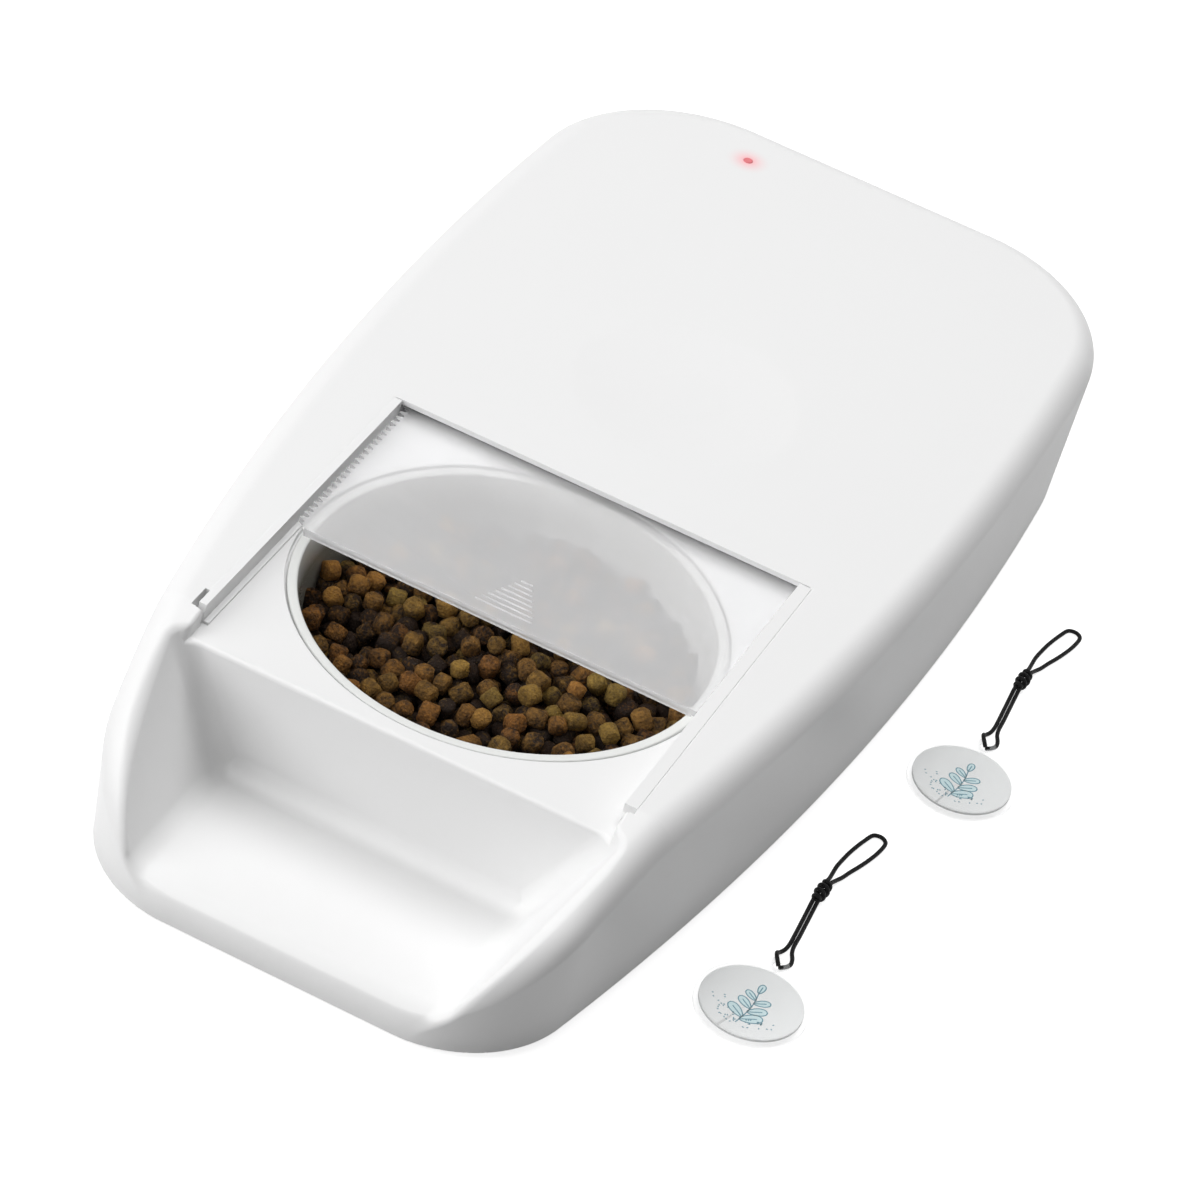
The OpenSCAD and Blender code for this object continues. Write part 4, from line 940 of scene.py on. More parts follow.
@dataclass
class HousingForm:
    """Outer form, tray and deck of the upper housing as one distance field, in mm."""

    half_w: float = 107.0
    nose_y: float = 203.0
    tail_y: float = 229.0
    bottom_z: float = 2.0
    top_z: float = 63.0
    bow_r: float = 1240.0
    widest_y: float = 85.0
    nose_r: float = 44.0
    tail_r: float = 58.0
    edge_r: float = 9.0
    nose_edge_r: float = 7.0
    draft: float = 2.0
    fall_start: float = 132.0
    fall_power: float = 1.3
    fall_root: float = 0.62
    wall: float = 2.6
    deck_z: float = 56.0
    deck_half: float = 72.0
    deck_front: float = 141.0
    strip_half: float = 74.6
    strip_end: float = 134.0
    shelf: float = 24.0
    tray_z: float = 15.0
    tray_half: float = 52.5
    tray_top: float = 75.0
    tray_side_r: float = 4.0
    tray_back_r: float = 7.0
    lip_r: float = 9.0
    rim_round: float = 1.3
    nose_rim_round: float = 3.2
    rim_reach: float = 14.0
    crisp_r: float = 0.05
    step_r: float = 1.6
    skin_r: float = 0.3
    hem_r: float = 0.8
    hem: float = 1.0
    edge_ease_y: float = -175.0
    edge_ease: float = 30.0
    edge_share: float = 0.55
    strip_ease: float = 4.0
    steepest: float = 3.0
    dish_y: float = 66.0
    dish_r: float = 38.0
    dish_depth: float = 0.8
    bowl_y: float = BOWL_Y_MM
    well_r: float = 69.8
    well_floor: float = 16.1
    well_wall: float = 2.4
    well_lap: float = 1.0
    brim_drop: float = 4.8
    hole_r: float = 70.2

    def outline(self, x: Array, y: Array) -> Array:
        """Signed distance to the plan outline."""
        ax = np.abs(x)
        bow_x = self.half_w - self.bow_r
        side = np.hypot(ax - bow_x, y - self.widest_y) - self.bow_r
        flat = highest(side, -self.nose_y - y, y - self.tail_y)
        for centre_y, radius, ahead in (
            (self.nose_r - self.nose_y, self.nose_r, -1.0),
            (self.tail_y - self.tail_r, self.tail_r, 1.0),
        ):
            reach = self.bow_r - radius
            centre_x = bow_x + math.sqrt(reach**2 - (centre_y - self.widest_y) ** 2)
            lean = (centre_y - self.widest_y) / reach
            across = math.sqrt(1 - lean**2)
            vx, vy = ax - centre_x, (y - centre_y)
            beyond = (vx > 0) & (vy * ahead * across - vx * lean * ahead > 0)
            flat = np.where(beyond, np.hypot(vx, vy) - radius, flat)
        return flat

    def surface(self, y: Array) -> Array:
        """Height of the upper surface along the length."""
        fall = clamp01((-self.fall_start - y) / (self.nose_y - self.fall_start))
        drop = np.power(np.maximum(1 - np.power(fall, self.fall_power), 0), self.fall_root)
        return self.tray_z + (self.top_z - self.tray_z) * drop

    def outer(self, x: Array, y: Array, z: Array, inset: float) -> Array:
        """Outer form, or the cavity's form for an inset."""
        top = self.surface(y)
        ease = clamp01((y - self.edge_ease_y) / self.edge_ease)
        edge_r = self.nose_edge_r + (self.edge_r - self.nose_edge_r) * ease
        radius = np.minimum(edge_r, self.edge_share * (top - self.bottom_z))
        foot = self.bottom_z + self.hem
        lean = self.draft * clamp01((top - radius - z) / (top - radius - foot))
        a = self.outline(x, y) + lean + radius
        b = z - top + radius
        return np.hypot(np.maximum(a, 0), np.maximum(b, 0)) + np.minimum(np.maximum(a, b), 0) - radius + inset

    def tray(self, x: Array, y: Array, z: Array) -> Array:
        """Space of the front tray."""
        slope = (self.tray_top - self.tray_half) / (self.deck_z - self.tray_z)
        side = (np.abs(x) - self.tray_half - (z - self.tray_z) * slope) / math.hypot(1, slope)
        lip_y = self.lip_r - self.nose_y
        lip_z = self.tray_z - self.lip_r
        over = self.lip_r - np.hypot(np.minimum(y - lip_y, 0), np.maximum(z - lip_z, 0))
        floor = np.where(y < lip_y, over, self.tray_z - z)
        return both(both(side, floor, self.tray_side_r), y + self.deck_front, self.tray_back_r)

    def deck_space(self, x: Array, y: Array, z: Array) -> Array:
        """Space above the deck, in front of the hood."""
        ax = np.abs(x)
        wide = highest(ax - self.strip_half, -self.strip_end - y, y)
        narrow = highest(ax - self.deck_half, -self.deck_front - 1 - y, y)
        return np.maximum(np.minimum(wide, narrow), self.deck_z - z)

    def __call__(self, x: Array, y: Array, z: Array) -> Array:
        """Field of the whole moulding, without its small holes."""
        skin = self.outer(x, y, z, 0.0)
        tray = self.tray(x, y, z)
        deck = self.deck_space(x, y, z)
        half, rear, under = self.strip_half + self.wall, self.shelf + self.wall, self.deck_z - self.wall
        shelf = highest(-half - x, x - half, -1.0 - y, y - rear, under - z, z - self.deck_z)
        moulding = np.minimum(np.minimum(tray, deck) - self.wall, shelf)
        slope = self.surface(y + 0.5) - self.surface(y - 0.5)
        cavity = np.maximum(skin + self.wall * np.minimum(np.hypot(1, slope), self.steepest), -moulding)
        solid = both(skin, -cavity, self.skin_r)
        across = np.hypot(x, y - self.bowl_y)
        lap = z - self.deck_z + self.well_lap
        well = highest(across - self.well_r, self.well_floor - self.well_wall - z, lap)
        brim = highest(across - self.hole_r - self.wall, self.deck_z - self.brim_drop - z, lap)
        solid = np.minimum(solid, np.minimum(well, brim))
        opening = either(tray, deck, self.step_r)
        ease = clamp01((-self.strip_end - y) / self.strip_ease)
        edge = np.where(np.abs(x) > self.deck_half + 1, ease, 1.0)
        grow = clamp01((-self.deck_front - y) / self.rim_reach)
        rim = self.rim_round + (self.nose_rim_round - self.rim_round) * grow
        edge = np.where(y < -self.strip_end + self.strip_ease, edge, 0)
        solid = both(solid, -opening, self.crisp_r + (rim - self.crisp_r) * edge)
        dish = 1 - (x**2 + (y - self.dish_y) ** 2) / self.dish_r**2
        solid = np.maximum(solid, z - self.top_z + self.dish_depth * np.maximum(dish, 0))
        return both(solid, self.bottom_z - z, self.hem_r)


CORNERS = [(i, j, k) for k in (0, 1) for j in (0, 1) for i in (0, 1)]
EDGES = [(0, 1), (2, 3), (4, 5), (6, 7), (0, 2), (1, 3), (4, 6), (5, 7), (0, 4), (1, 5), (2, 6), (3, 7)]


class FieldMesher:
    """Turns a distance field into a closed mesh on an uneven grid."""

    def __init__(self, form: Field, axes: Sequence[Array]) -> None:
        """Keeps the field and the grid lines."""
        self.form = form
        self.axes = [np.asarray(a, float) for a in axes]

    def slope(self, p: Array, step: float = 0.05) -> Array:
        """Gradient of the field at points."""
        out = np.zeros_like(p)
        for k in range(3):
            low, high = p.copy(), p.copy()
            low[:, k] -= step
            high[:, k] += step
            out[:, k] = (self.form(*high.T) - self.form(*low.T)) / (2 * step)
        return out

    def net(self) -> tuple[Array, Array]:
        """Points and four-cornered faces of the surface.

        Returns:
            Points in mm and an array of faces.
        """
        xs, ys, zs = self.axes
        values = self.form(xs[:, None, None], ys[None, :, None], zs[None, None, :]).astype(np.float32)
        inside = values < 0
        nx, ny, nz = values.shape
        count = np.zeros((nx - 1, ny - 1, nz - 1), np.uint8)
        for i, j, k in CORNERS:
            count += inside[i : nx - 1 + i, j : ny - 1 + j, k : nz - 1 + k]
        active = (count > 0) & (count < 8)
        index = np.full(active.shape, -1, np.int64)
        cell_i, cell_j, cell_k = np.nonzero(active)
        index[active] = np.arange(len(cell_i))
        total = np.zeros((len(cell_i), 3))
        hits = np.zeros(len(cell_i))
        for a, b in EDGES:
            ends = []
            for i, j, k in (CORNERS[a], CORNERS[b]):
                value = values[cell_i + i, cell_j + j, cell_k + k]
                ends.append((value, np.stack([xs[cell_i + i], ys[cell_j + j], zs[cell_k + k]], axis=1)))
            (va, pa), (vb, pb) = ends
            crossed = (va < 0) != (vb < 0)
            part = np.where(crossed, va / np.where(crossed, va - vb, 1), 0)[:, None]
            total += np.where(crossed[:, None], pa + part * (pb - pa), 0)
            hits += crossed
        points = total / hits[:, None]
        faces = []
        for axis in range(3):
            first = [slice(1, -1)] * 3
            second = [slice(1, -1)] * 3
            first[axis], second[axis] = slice(None, -1), slice(1, None)
            low, high = inside[tuple(first)], inside[tuple(second)]
            for outward in (True, False):
                where = low & ~high if outward else ~low & high
                at = [c + (0 if n == axis else 1) for n, c in enumerate(np.nonzero(where))]
                u, v = (axis + 1) % 3, (axis + 2) % 3
                quad = []
                for du, dv in ((1, 1), (0, 1), (0, 0), (1, 0)):
                    cell = list(at)
                    cell[u] = at[u] - du
                    cell[v] = at[v] - dv
                    quad.append(index[tuple(cell)])
                faces.append(np.stack(quad if outward else quad[::-1], axis=1))
        return points, np.concatenate(faces)

    def pull(self, points: Array, rounds: int = 3, least: float = 0.3, longest: float = 0.5) -> Array:
        """Moves points onto the surface.

        Args:
            points: Points in mm.
            rounds: Number of steps.
            least: Least square of the slope that a step is divided by.
            longest: Longest step in mm.

        Returns:
            The moved points.
        """
        for _ in range(rounds):
            slope = self.slope(points)
            size = np.maximum((slope**2).sum(axis=1), least)
            step = (self.form(*points.T) / size)[:, None] * slope
            length = np.linalg.norm(step, axis=1)[:, None]
            points = points - step * np.minimum(1, longest / np.maximum(length, TINY))
        return points


def steps(*stretches: tuple[float, float, float]) -> Array:
    """Grid lines from stretches of (start, end, spacing)."""
    lines = [np.linspace(a, b, max(2, round((b - a) / d) + 1)) for a, b, d in stretches]
    return np.unique(np.round(np.concatenate(lines), 4))


# Places beyond the housing's top and rear, where a cutting tool ends
BEYOND_Z = 70.0
BEYOND_Y = 240.0


@dataclass
class Housing:
    """White upper housing with hood, rails, deck, bowl well and tray."""

    form: HousingForm
    triangles: int = 170000
    ledge_z: float = LEDGE_Z_MM
    ledge_r: float = 68.0
    lip_round: float = 0.7
    slot_top: float = 60.2
    slot_end: float = 3.7
    mouth_h: float = 1.2
    mouth_l: float = 1.6
    pocket_w: float = 1.6
    pocket_l: float = 9.0
    pocket_z: float = 57.0
    door_half: float = 55.05
    door_low: float = 5.8
    door_high: float = 33.0
    door_y: float = 209.0
    button_z: float = 42.0
    button_x: float = 12.0
    button_r: float = 5.1
    button_y: float = 200.0
    button_l: float = 40.0
    pipe_r: float = 1.7
    pipe_l: float = 20.0
    pipe_at: Vec = (-40.0, 205.0, 50.0)
    probe: float = 0.12
    probe_part: float = 0.3
    probe_step: float = 0.04
    least_agreement: float = 0.8
    most_off: float = 0.25

    def grid(self) -> list[Array]:
        """Grid lines, close together where the form has small edges."""
        half = steps((0, 66, 1.2), (66, 80, 0.5), (80, 110, 1.0))
        x = np.unique(np.concatenate([-half, half])) + 0.013
        front = (-206, -198, 0.7), (-198, -146, 1.0), (-146, -126, 0.5)
        y = steps(*front, (-126, 3, 1.2), (3, 30, 1.5), (30, 200, 3.2), (200, 232, 1.3))
        z = steps((0.5, 6, 0.6), (6, 22, 1.0), (22, 49, 1.1), (49, 65, 0.5))
        return [x, y + 0.017, z + 0.011]

    def rough_body(self) -> Piece:
        """Meshes the field and thins its flat parts."""
        mesher = FieldMesher(self.form, self.grid())
        points, faces = mesher.net()
        points = mesher.pull(points)
        body = new_piece("feeder_housing", points, faces)
        log.info("field mesh: %d points, %d faces", len(points), len(faces))
        thin = body.modifiers.new("thin", "DECIMATE")
        thin.ratio = min(1.0, self.triangles / (2 * len(faces)))
        bake_modifiers(body)
        return body

    def well_tool(self) -> Piece:
        """Cutting form of the bowl's hole, with its rounded lip and its ledge."""
        deck = self.form.deck_z
        hole = self.form.hole_r
        radius, floor = self.lip_round, self.form.well_floor
        lip = [(hole + radius - x, deck - radius + z) for x, z in arc(0, 0, radius, 8, 82, 7)]
        profile = [(0.0, floor), (self.ledge_r, floor), (self.ledge_r, self.ledge_z), (hole, self.ledge_z)]
        profile += lip + [(hole + radius, deck + 3), (0.0, deck + 3)]
        return lathe("well_tool", profile, (0.0, self.form.bowl_y, 0.0), 192)

    def slot_tool(self, half: float) -> Piece:
        """Cutting form of the lid's slot, with the mouth that thins the hood's edge."""
        deck, top, brow = self.form.deck_z, self.slot_top, self.slot_top + self.mouth_h
        side = [(-1.0, deck), (self.slot_end, deck), (self.slot_end, top), (self.mouth_l, top)]
        side += [(0.0, brow), (-1.0, brow)]
        points = [(x, y, z) for x in (-half, half) for y, z in side]
        return new_piece("slot_tool", np.array(points), prism_faces(len(side)))

    def cut_openings(self, body: Piece) -> None:
        """Cuts the bowl's hole, the lid's slot, the rear openings and the left rail's pocket."""
        half, end = self.form.strip_half, self.form.strip_end
        cut(body, self.well_tool())
        cut(body, self.slot_tool(half))
        pocket_low = (-half - self.pocket_w, -end, self.pocket_z)
        cut(body, box_tool(pocket_low, (0.1 - half, self.pocket_l - end, BEYOND_Z)))
        door_high = (self.door_half, BEYOND_Y, self.door_high)
        cut(body, box_tool((-self.door_half, self.door_y, self.door_low), door_high))
        for x in (-self.button_x, self.button_x):
            cut(body, rod_tool(self.button_r, 0.0, self.button_l, (x, self.button_y, self.button_z), 40, "y"))
        cut(body, rod_tool(self.pipe_r, 0.0, self.pipe_l, self.pipe_at, 32))

    def shade(self, body: Piece) -> None:
        """Gives each corner the true direction of the surface where it stands."""
        mesh = body.data

        def read(items: object, name: str, width: int, kind: type) -> Array:
            """One property of all items as rows."""
            values = np.zeros(len(items) * width, kind)
            items.foreach_get(name, values)
            return values.reshape(-1, width) if width > 1 else values

        corner = read(mesh.loops, "vertex_index", 1, np.int32)
        spots = (read(mesh.vertices, "co", 3, float) / MM + np.array(ROW_ORIGIN_MM))[corner]
        sizes = read(mesh.polygons, "loop_total", 1, np.int32)
        owner = np.repeat(np.arange(len(sizes)), sizes)
        middle = np.zeros((len(sizes), 3))
        np.add.at(middle, owner, spots)
        middle /= sizes[:, None]
        flat = read(mesh.polygons, "normal", 3, float)[owner]
        toward = middle[owner] - spots
        reach = np.linalg.norm(toward, axis=1)[:, None]
        probe = spots + toward * np.minimum(self.probe / np.maximum(reach, TINY), self.probe_part)
        slope = FieldMesher(self.form, self.grid()).slope(probe, self.probe_step)
        slope /= np.maximum(np.linalg.norm(slope, axis=1)[:, None], TINY)
        agree = (slope * flat).sum(axis=1) > self.least_agreement
        near = np.abs(self.form(*probe.T)) < self.most_off
        normals = np.where((agree & near)[:, None], slope, flat)
        smooth_all(body)
        mesh.normals_split_custom_set(normals.tolist())

    def build(self) -> Piece:
        """Makes the housing and puts it on its body."""
        body = self.rough_body()
        self.cut_openings(body)
        self.shade(body)
        return settle(body, Body.HOUSING, Slot.SHELL, ["upper_housing"])


# Bowl and food


@dataclass
class Bowl:
    """Round bowl with a flange that hangs on the ledge."""

    centre_y: float = BOWL_Y_MM
    rim_r: float = 69.4
    body_r: float = 67.4
    foot_r: float = 63.9
    corner_r: float = 13.0
    wall: float = 1.4
    bottom_z: float = 16.4
    ledge_z: float = LEDGE_Z_MM
    top_z: float = 55.4
    rim_step: float = 0.2
    rim_round: float = 0.6
    lip_round: float = 0.9
    segments: int = 176

    def profile(self) -> list[Point]:
        """Closed profile, outside first."""
        inner = self.corner_r - self.wall
        foot_x, foot_z = self.foot_r - self.corner_r, self.bottom_z + self.corner_r
        edge = self.body_r - self.wall
        outside = [(0.0, self.bottom_z)] + arc(foot_x, foot_z, self.corner_r, -90, 0, 12)
        rim = [(self.body_r, self.ledge_z), (self.rim_r - self.rim_step, self.ledge_z)]
        rim += arc(self.rim_r - self.rim_round, self.top_z - self.rim_round, self.rim_round, -10, 90, 5)
        rim += arc(edge + self.lip_round, self.top_z - self.lip_round, self.lip_round, 90, 180, 6)
        inside = arc(foot_x, foot_z, inner, 0, -90, 12)
        return outside + rim + inside + [(0.0, self.bottom_z + self.wall)]

    def build(self) -> Piece:
        """Makes the bowl and puts it on its body."""
        piece = lathe("food_bowl", self.profile(), (0.0, self.centre_y, 0.0), self.segments)
        sharpen(piece, 40)
        return settle(piece, Body.HOUSING, Slot.BOWL, ["bowl"])


class Tree:
    """Bench for a Geometry Nodes tree with named inputs."""

    def __init__(self, name: str, inputs: Sequence[tuple[str, str, object]]) -> None:
        """Makes the tree, its inputs and its output."""
        self.tree = bpy.data.node_groups.new(name, "GeometryNodeTree")
        face = self.tree.interface
        face.new_socket("Geometry", in_out="INPUT", socket_type="NodeSocketGeometry")
        self.ids: dict[str, str] = {}
        for label, kind, value in inputs:
            socket = face.new_socket(label, in_out="INPUT", socket_type=kind)
            if value is not None:
                socket.default_value = value
            self.ids[label] = socket.identifier
        face.new_socket("Geometry", in_out="OUTPUT", socket_type="NodeSocketGeometry")
        self.bench = Bench(self.tree)
        self.source = self.bench.add("NodeGroupInput").outputs

    def finish(self, geometry: Socket, material: Material) -> None:
        """Ends the tree in Realize Instances and Set Material."""
        real = self.bench.add("GeometryNodeRealizeInstances", {"Geometry": geometry})
        dressed = self.bench.add("GeometryNodeSetMaterial", {"Geometry": real.outputs[0]})
        dressed.inputs["Material"].default_value = material
        self.bench.add("NodeGroupOutput", {"Geometry": dressed.outputs[0]})

    def apply(self, piece: Piece, values: dict[str, object]) -> None:
        """Runs the tree on a piece with its inputs and keeps the plain result."""
        modifier = piece.modifiers.new("tree", "NODES")
        modifier.node_group = self.tree
        for label, value in values.items():
            modifier[self.ids[label]] = value
        bake_modifiers(piece)


@dataclass
class FoodHeap:
    """Heap of dry pellets in the bowl, dropped one by one and dressed by Geometry Nodes."""

    centre_y: float = BOWL_Y_MM
    reach: float = 64.9
    floor_z: float = 22.0
    level_z: float = 38.5
    crown: float = 5.2
    crown_r: float = 42.0
    top_at: Point = (6.0, -4.0)
    pellet_r: float = 3.1
    pellet_l: float = 5.8
    pellet_edge: float = 0.7
    packing_r: float = 2.9
    deepest: float = 19.0
    shadow_depth: float = 5.0
    upright_share: float = 0.35
    upright_lean: float = 0.35
    bump_size: float = 0.0028
    bump_depth: float = 0.0009
    tries: int = 10
    misses: int = 30
    limit: int = 2800
    seed: int = 11

    def level(self, x: float, y: float) -> float:
        """Height that the heap is filled to."""
        top_x, top_y = self.top_at
        return self.level_z + self.crown * math.exp(-((x - top_x) ** 2 + (y - top_y) ** 2) / self.crown_r**2)

    def drop_all(self) -> Array:
        """Drops pellets at the lowest of a few places until the heap is full.

        Returns:
            Rows of x, y, z in the bowl's frame.
        """
        rng = np.random.default_rng(self.seed)
        centres = np.zeros((0, 3))
        reach = self.reach - self.pellet_r
        misses = 0
        while len(centres) < self.limit and misses < self.misses:
            best = None
            for _ in range(self.tries):
                turn, out = rng.uniform(0, 2 * math.pi), reach * math.sqrt(rng.uniform())
                x, y = out * math.cos(turn), out * math.sin(turn)
                z = self.floor_z + rng.uniform(0, 3)
                if len(centres):
                    flat = (centres[:, 0] - x) ** 2 + (centres[:, 1] - y) ** 2
                    near = flat < (2 * self.packing_r) ** 2
                    if near.any():
                        rest = centres[near, 2] + np.sqrt((2 * self.packing_r) ** 2 - flat[near])
                        z = max(z, float(rest.max()))
                depth = z - self.level(x, y)
                if best is None or depth < best[0]:
                    best = (depth, x, y, z)
            if best[0] > 0:
                misses += 1
                continue
            centres = np.vstack([centres, best[1:]])
        return centres

    def pellet(self) -> Piece:
        """One pellet with rounded edges, round the origin."""
        corner, r, h = self.pellet_edge, self.pellet_r, self.pellet_l / 2
        profile = [(0.0, -h * 0.97)] + arc(r - corner, corner - h, corner, -90, 0, 1)
        profile += arc(r - corner, h - corner, corner, 0, 90, 1) + [(0.0, h * 0.97)]
        return lathe("pellet_source", profile, ROW_ORIGIN_MM, 9)

    def tree(self) -> Tree:
        """Tree that puts a bumpy pellet on every point."""
        inputs = [("Pellet", "NodeSocketObject", None), ("Bump Size", FLOAT, self.bump_size)]
        inputs.append(("Bump Depth", FLOAT, self.bump_depth))
        tree = Tree("food_heap", inputs)
        bench, source = tree.bench, tree.source
        dots = bench.add("GeometryNodeMeshToPoints", {"Mesh": source["Geometry"]})
        pellet = bench.add("GeometryNodeObjectInfo", {"Object": source["Pellet"]})
        turn, size = (
            bench.add("GeometryNodeInputNamedAttribute", {"Name": name}, data_type="FLOAT_VECTOR").outputs[0]
            for name in ("turn", "size")
        )
        euler = bench.add("FunctionNodeEulerToRotation", {0: turn})
        values = {"Points": dots.outputs[0], "Instance": pellet.outputs["Geometry"]}
        values.update({"Rotation": euler.outputs[0], "Scale": size})
        placed = bench.add("GeometryNodeInstanceOnPoints", values)
        real = bench.add("GeometryNodeRealizeInstances", {"Geometry": placed.outputs[0]})
        finer = bench.add("ShaderNodeMath", {0: 1.0, 1: source["Bump Size"]}, operation="DIVIDE")
        noise = bench.add("ShaderNodeTexNoise", {"Scale": finer.outputs[0], "Detail": 2.0})
        middle = {0: noise.outputs[1], 1: (0.5, 0.5, 0.5)}
        centred = bench.add("ShaderNodeVectorMath", middle, operation="SUBTRACT")
        moved = bench.tint(centred.outputs[0], source["Bump Depth"])
        bumpy = bench.add("GeometryNodeSetPosition", {"Geometry": real.outputs[0], "Offset": moved})
        smooth = bench.add("GeometryNodeSetShadeSmooth", {"Geometry": bumpy.outputs[0]})
        tree.finish(smooth.outputs[0], Wardrobe.slot(Slot.KIBBLE))
        return tree

    def build(self) -> Piece:
        """Makes the heap and puts it on its body."""
        rng = np.random.default_rng(self.seed + 1)
        centres = self.drop_all()
        below = np.array([self.level(x, y) - z for x, y, z in centres])
        centres, below = centres[below < self.deepest], below[below < self.deepest]
        count = len(centres)
        heap = new_piece("food_pellets", centres + np.array((0.0, self.centre_y, 0.0)), [])
        turns = rng.uniform(0, 2 * math.pi, (count, 3))
        upright = rng.uniform(size=count) < self.upright_share
        turns[upright, :2] = rng.normal(0, self.upright_lean, (int(upright.sum()), 2))
        width = rng.normal(1.0, 0.07, count)
        sizes = np.stack([width, width * rng.normal(1, 0.05, count), rng.normal(1.0, 0.14, count)], axis=1)
        # Painted shade: pellets lying deeper below the heap's surface are darker, where shade falls between them
        shadow = clamp01((below - 0.5) / self.shadow_depth)
        for label, kind, values in (
            ("turn", "FLOAT_VECTOR", turns),
            ("size", "FLOAT_VECTOR", np.clip(sizes, 0.7, 1.25)),
            ("tone", "FLOAT", clamp01(rng.normal(0.52, 0.25, count)) - shadow),
            ("hue", "FLOAT", clamp01(rng.normal(0.5, 0.35, count))),
        ):
            layer = heap.data.attributes.new(label, kind, "POINT")
            layer.data.foreach_set("vector" if kind == "FLOAT_VECTOR" else "value", values.ravel())
        pellet = self.pellet()
        self.tree().apply(heap, {"Pellet": pellet, "Bump Size": self.bump_size, "Bump Depth": self.bump_depth})
        drop(pellet)
        log.info("food heap: %d pellets", count)
        return settle(heap, Body.HOUSING, Slot.KIBBLE, ["kibble_heap"])


# Tags


LUG_REACH = 20.8
CORD_D = 1.4
BRAID_PER_MM = 0.45
REST_Z = CORD_D / 2
STRAND = CORD_D / 2 + 0.05
KNOT_X = -2.6
KNOT_Y = LUG_REACH + 40.0
KNOT_Z = 2.5
KNOT_LENGTH = 11.0
TIP_Y = KNOT_Y + 38.0
LEFT_X = KNOT_X - STRAND
RIGHT_X = KNOT_X + STRAND
LANYARD_ROUTE: list[Vec] = [
    (0, LUG_REACH, 2.1), (-0.9, LUG_REACH + 1, 2.9), (-2, LUG_REACH + 2.7, 3.2),
    (-2.7, LUG_REACH + 4.8, 2.6), (-2.5, LUG_REACH + 7.2, REST_Z + 0.3), (-1.7, LUG_REACH + 9.8, REST_Z),
    (-1.5, LUG_REACH + 13, REST_Z), (-1.9, LUG_REACH + 18, REST_Z), (-2.4, LUG_REACH + 23, REST_Z),
    (-2.9, LUG_REACH + 28, REST_Z), (LEFT_X + 0.1, KNOT_Y - 8, REST_Z + 0.5), (LEFT_X, KNOT_Y - 5, KNOT_Z - 0.1),
    (LEFT_X, KNOT_Y, KNOT_Z), (LEFT_X, KNOT_Y + 5, KNOT_Z - 0.1), (LEFT_X - 0.1, KNOT_Y + 8.5, REST_Z + 0.6),
    (LEFT_X - 0.4, KNOT_Y + 12, REST_Z), (LEFT_X - 0.6, KNOT_Y + 16, REST_Z),
    (LEFT_X - 0.3, KNOT_Y + 20.5, REST_Z), (LEFT_X + 0.2, KNOT_Y + 25, REST_Z),
    (LEFT_X + 1, KNOT_Y + 29.5, REST_Z), (LEFT_X + 1.8, KNOT_Y + 33, REST_Z),
    (LEFT_X + 2.8, TIP_Y - 1.4, REST_Z), (LEFT_X + 4.2, TIP_Y - 0.2, REST_Z), (LEFT_X + 6.1, TIP_Y - 0.2, REST_Z),
    (LEFT_X + 7.6, TIP_Y - 1.4, REST_Z), (LEFT_X + 8, TIP_Y - 3.4, REST_Z), (LEFT_X + 7.6, KNOT_Y + 30, REST_Z),
    (LEFT_X + 6.6, KNOT_Y + 25, REST_Z), (LEFT_X + 5.4, KNOT_Y + 20.5, REST_Z),
    (LEFT_X + 4, KNOT_Y + 16, REST_Z), (LEFT_X + 2.9, KNOT_Y + 12, REST_Z),
    (RIGHT_X + 0.4, KNOT_Y + 8.5, REST_Z + 0.6), (RIGHT_X, KNOT_Y + 5, KNOT_Z - 0.1),
    (RIGHT_X, KNOT_Y, KNOT_Z), (RIGHT_X, KNOT_Y - 5, KNOT_Z - 0.1), (RIGHT_X + 0.1, KNOT_Y - 8, REST_Z + 0.5),
    (-1.4, LUG_REACH + 28, REST_Z), (-0.9, LUG_REACH + 23, REST_Z), (-0.4, LUG_REACH + 18, REST_Z),
    (0, LUG_REACH + 13, REST_Z), (0.7, LUG_REACH + 9.8, REST_Z), (2, LUG_REACH + 7, REST_Z),
    (2.5, LUG_REACH + 4.6, REST_Z), (1.7, LUG_REACH + 2.6, REST_Z), (0.3, LUG_REACH + 0.6, REST_Z + 0.4),
]


# Each leaf's place along the stem and its side, with 0 for the tip
LEAF_PLACES = ((0.12, 1), (0.2, -1), (0.38, 1), (0.5, -1), (0.66, 1), (0.76, -1), (0.97, 0))


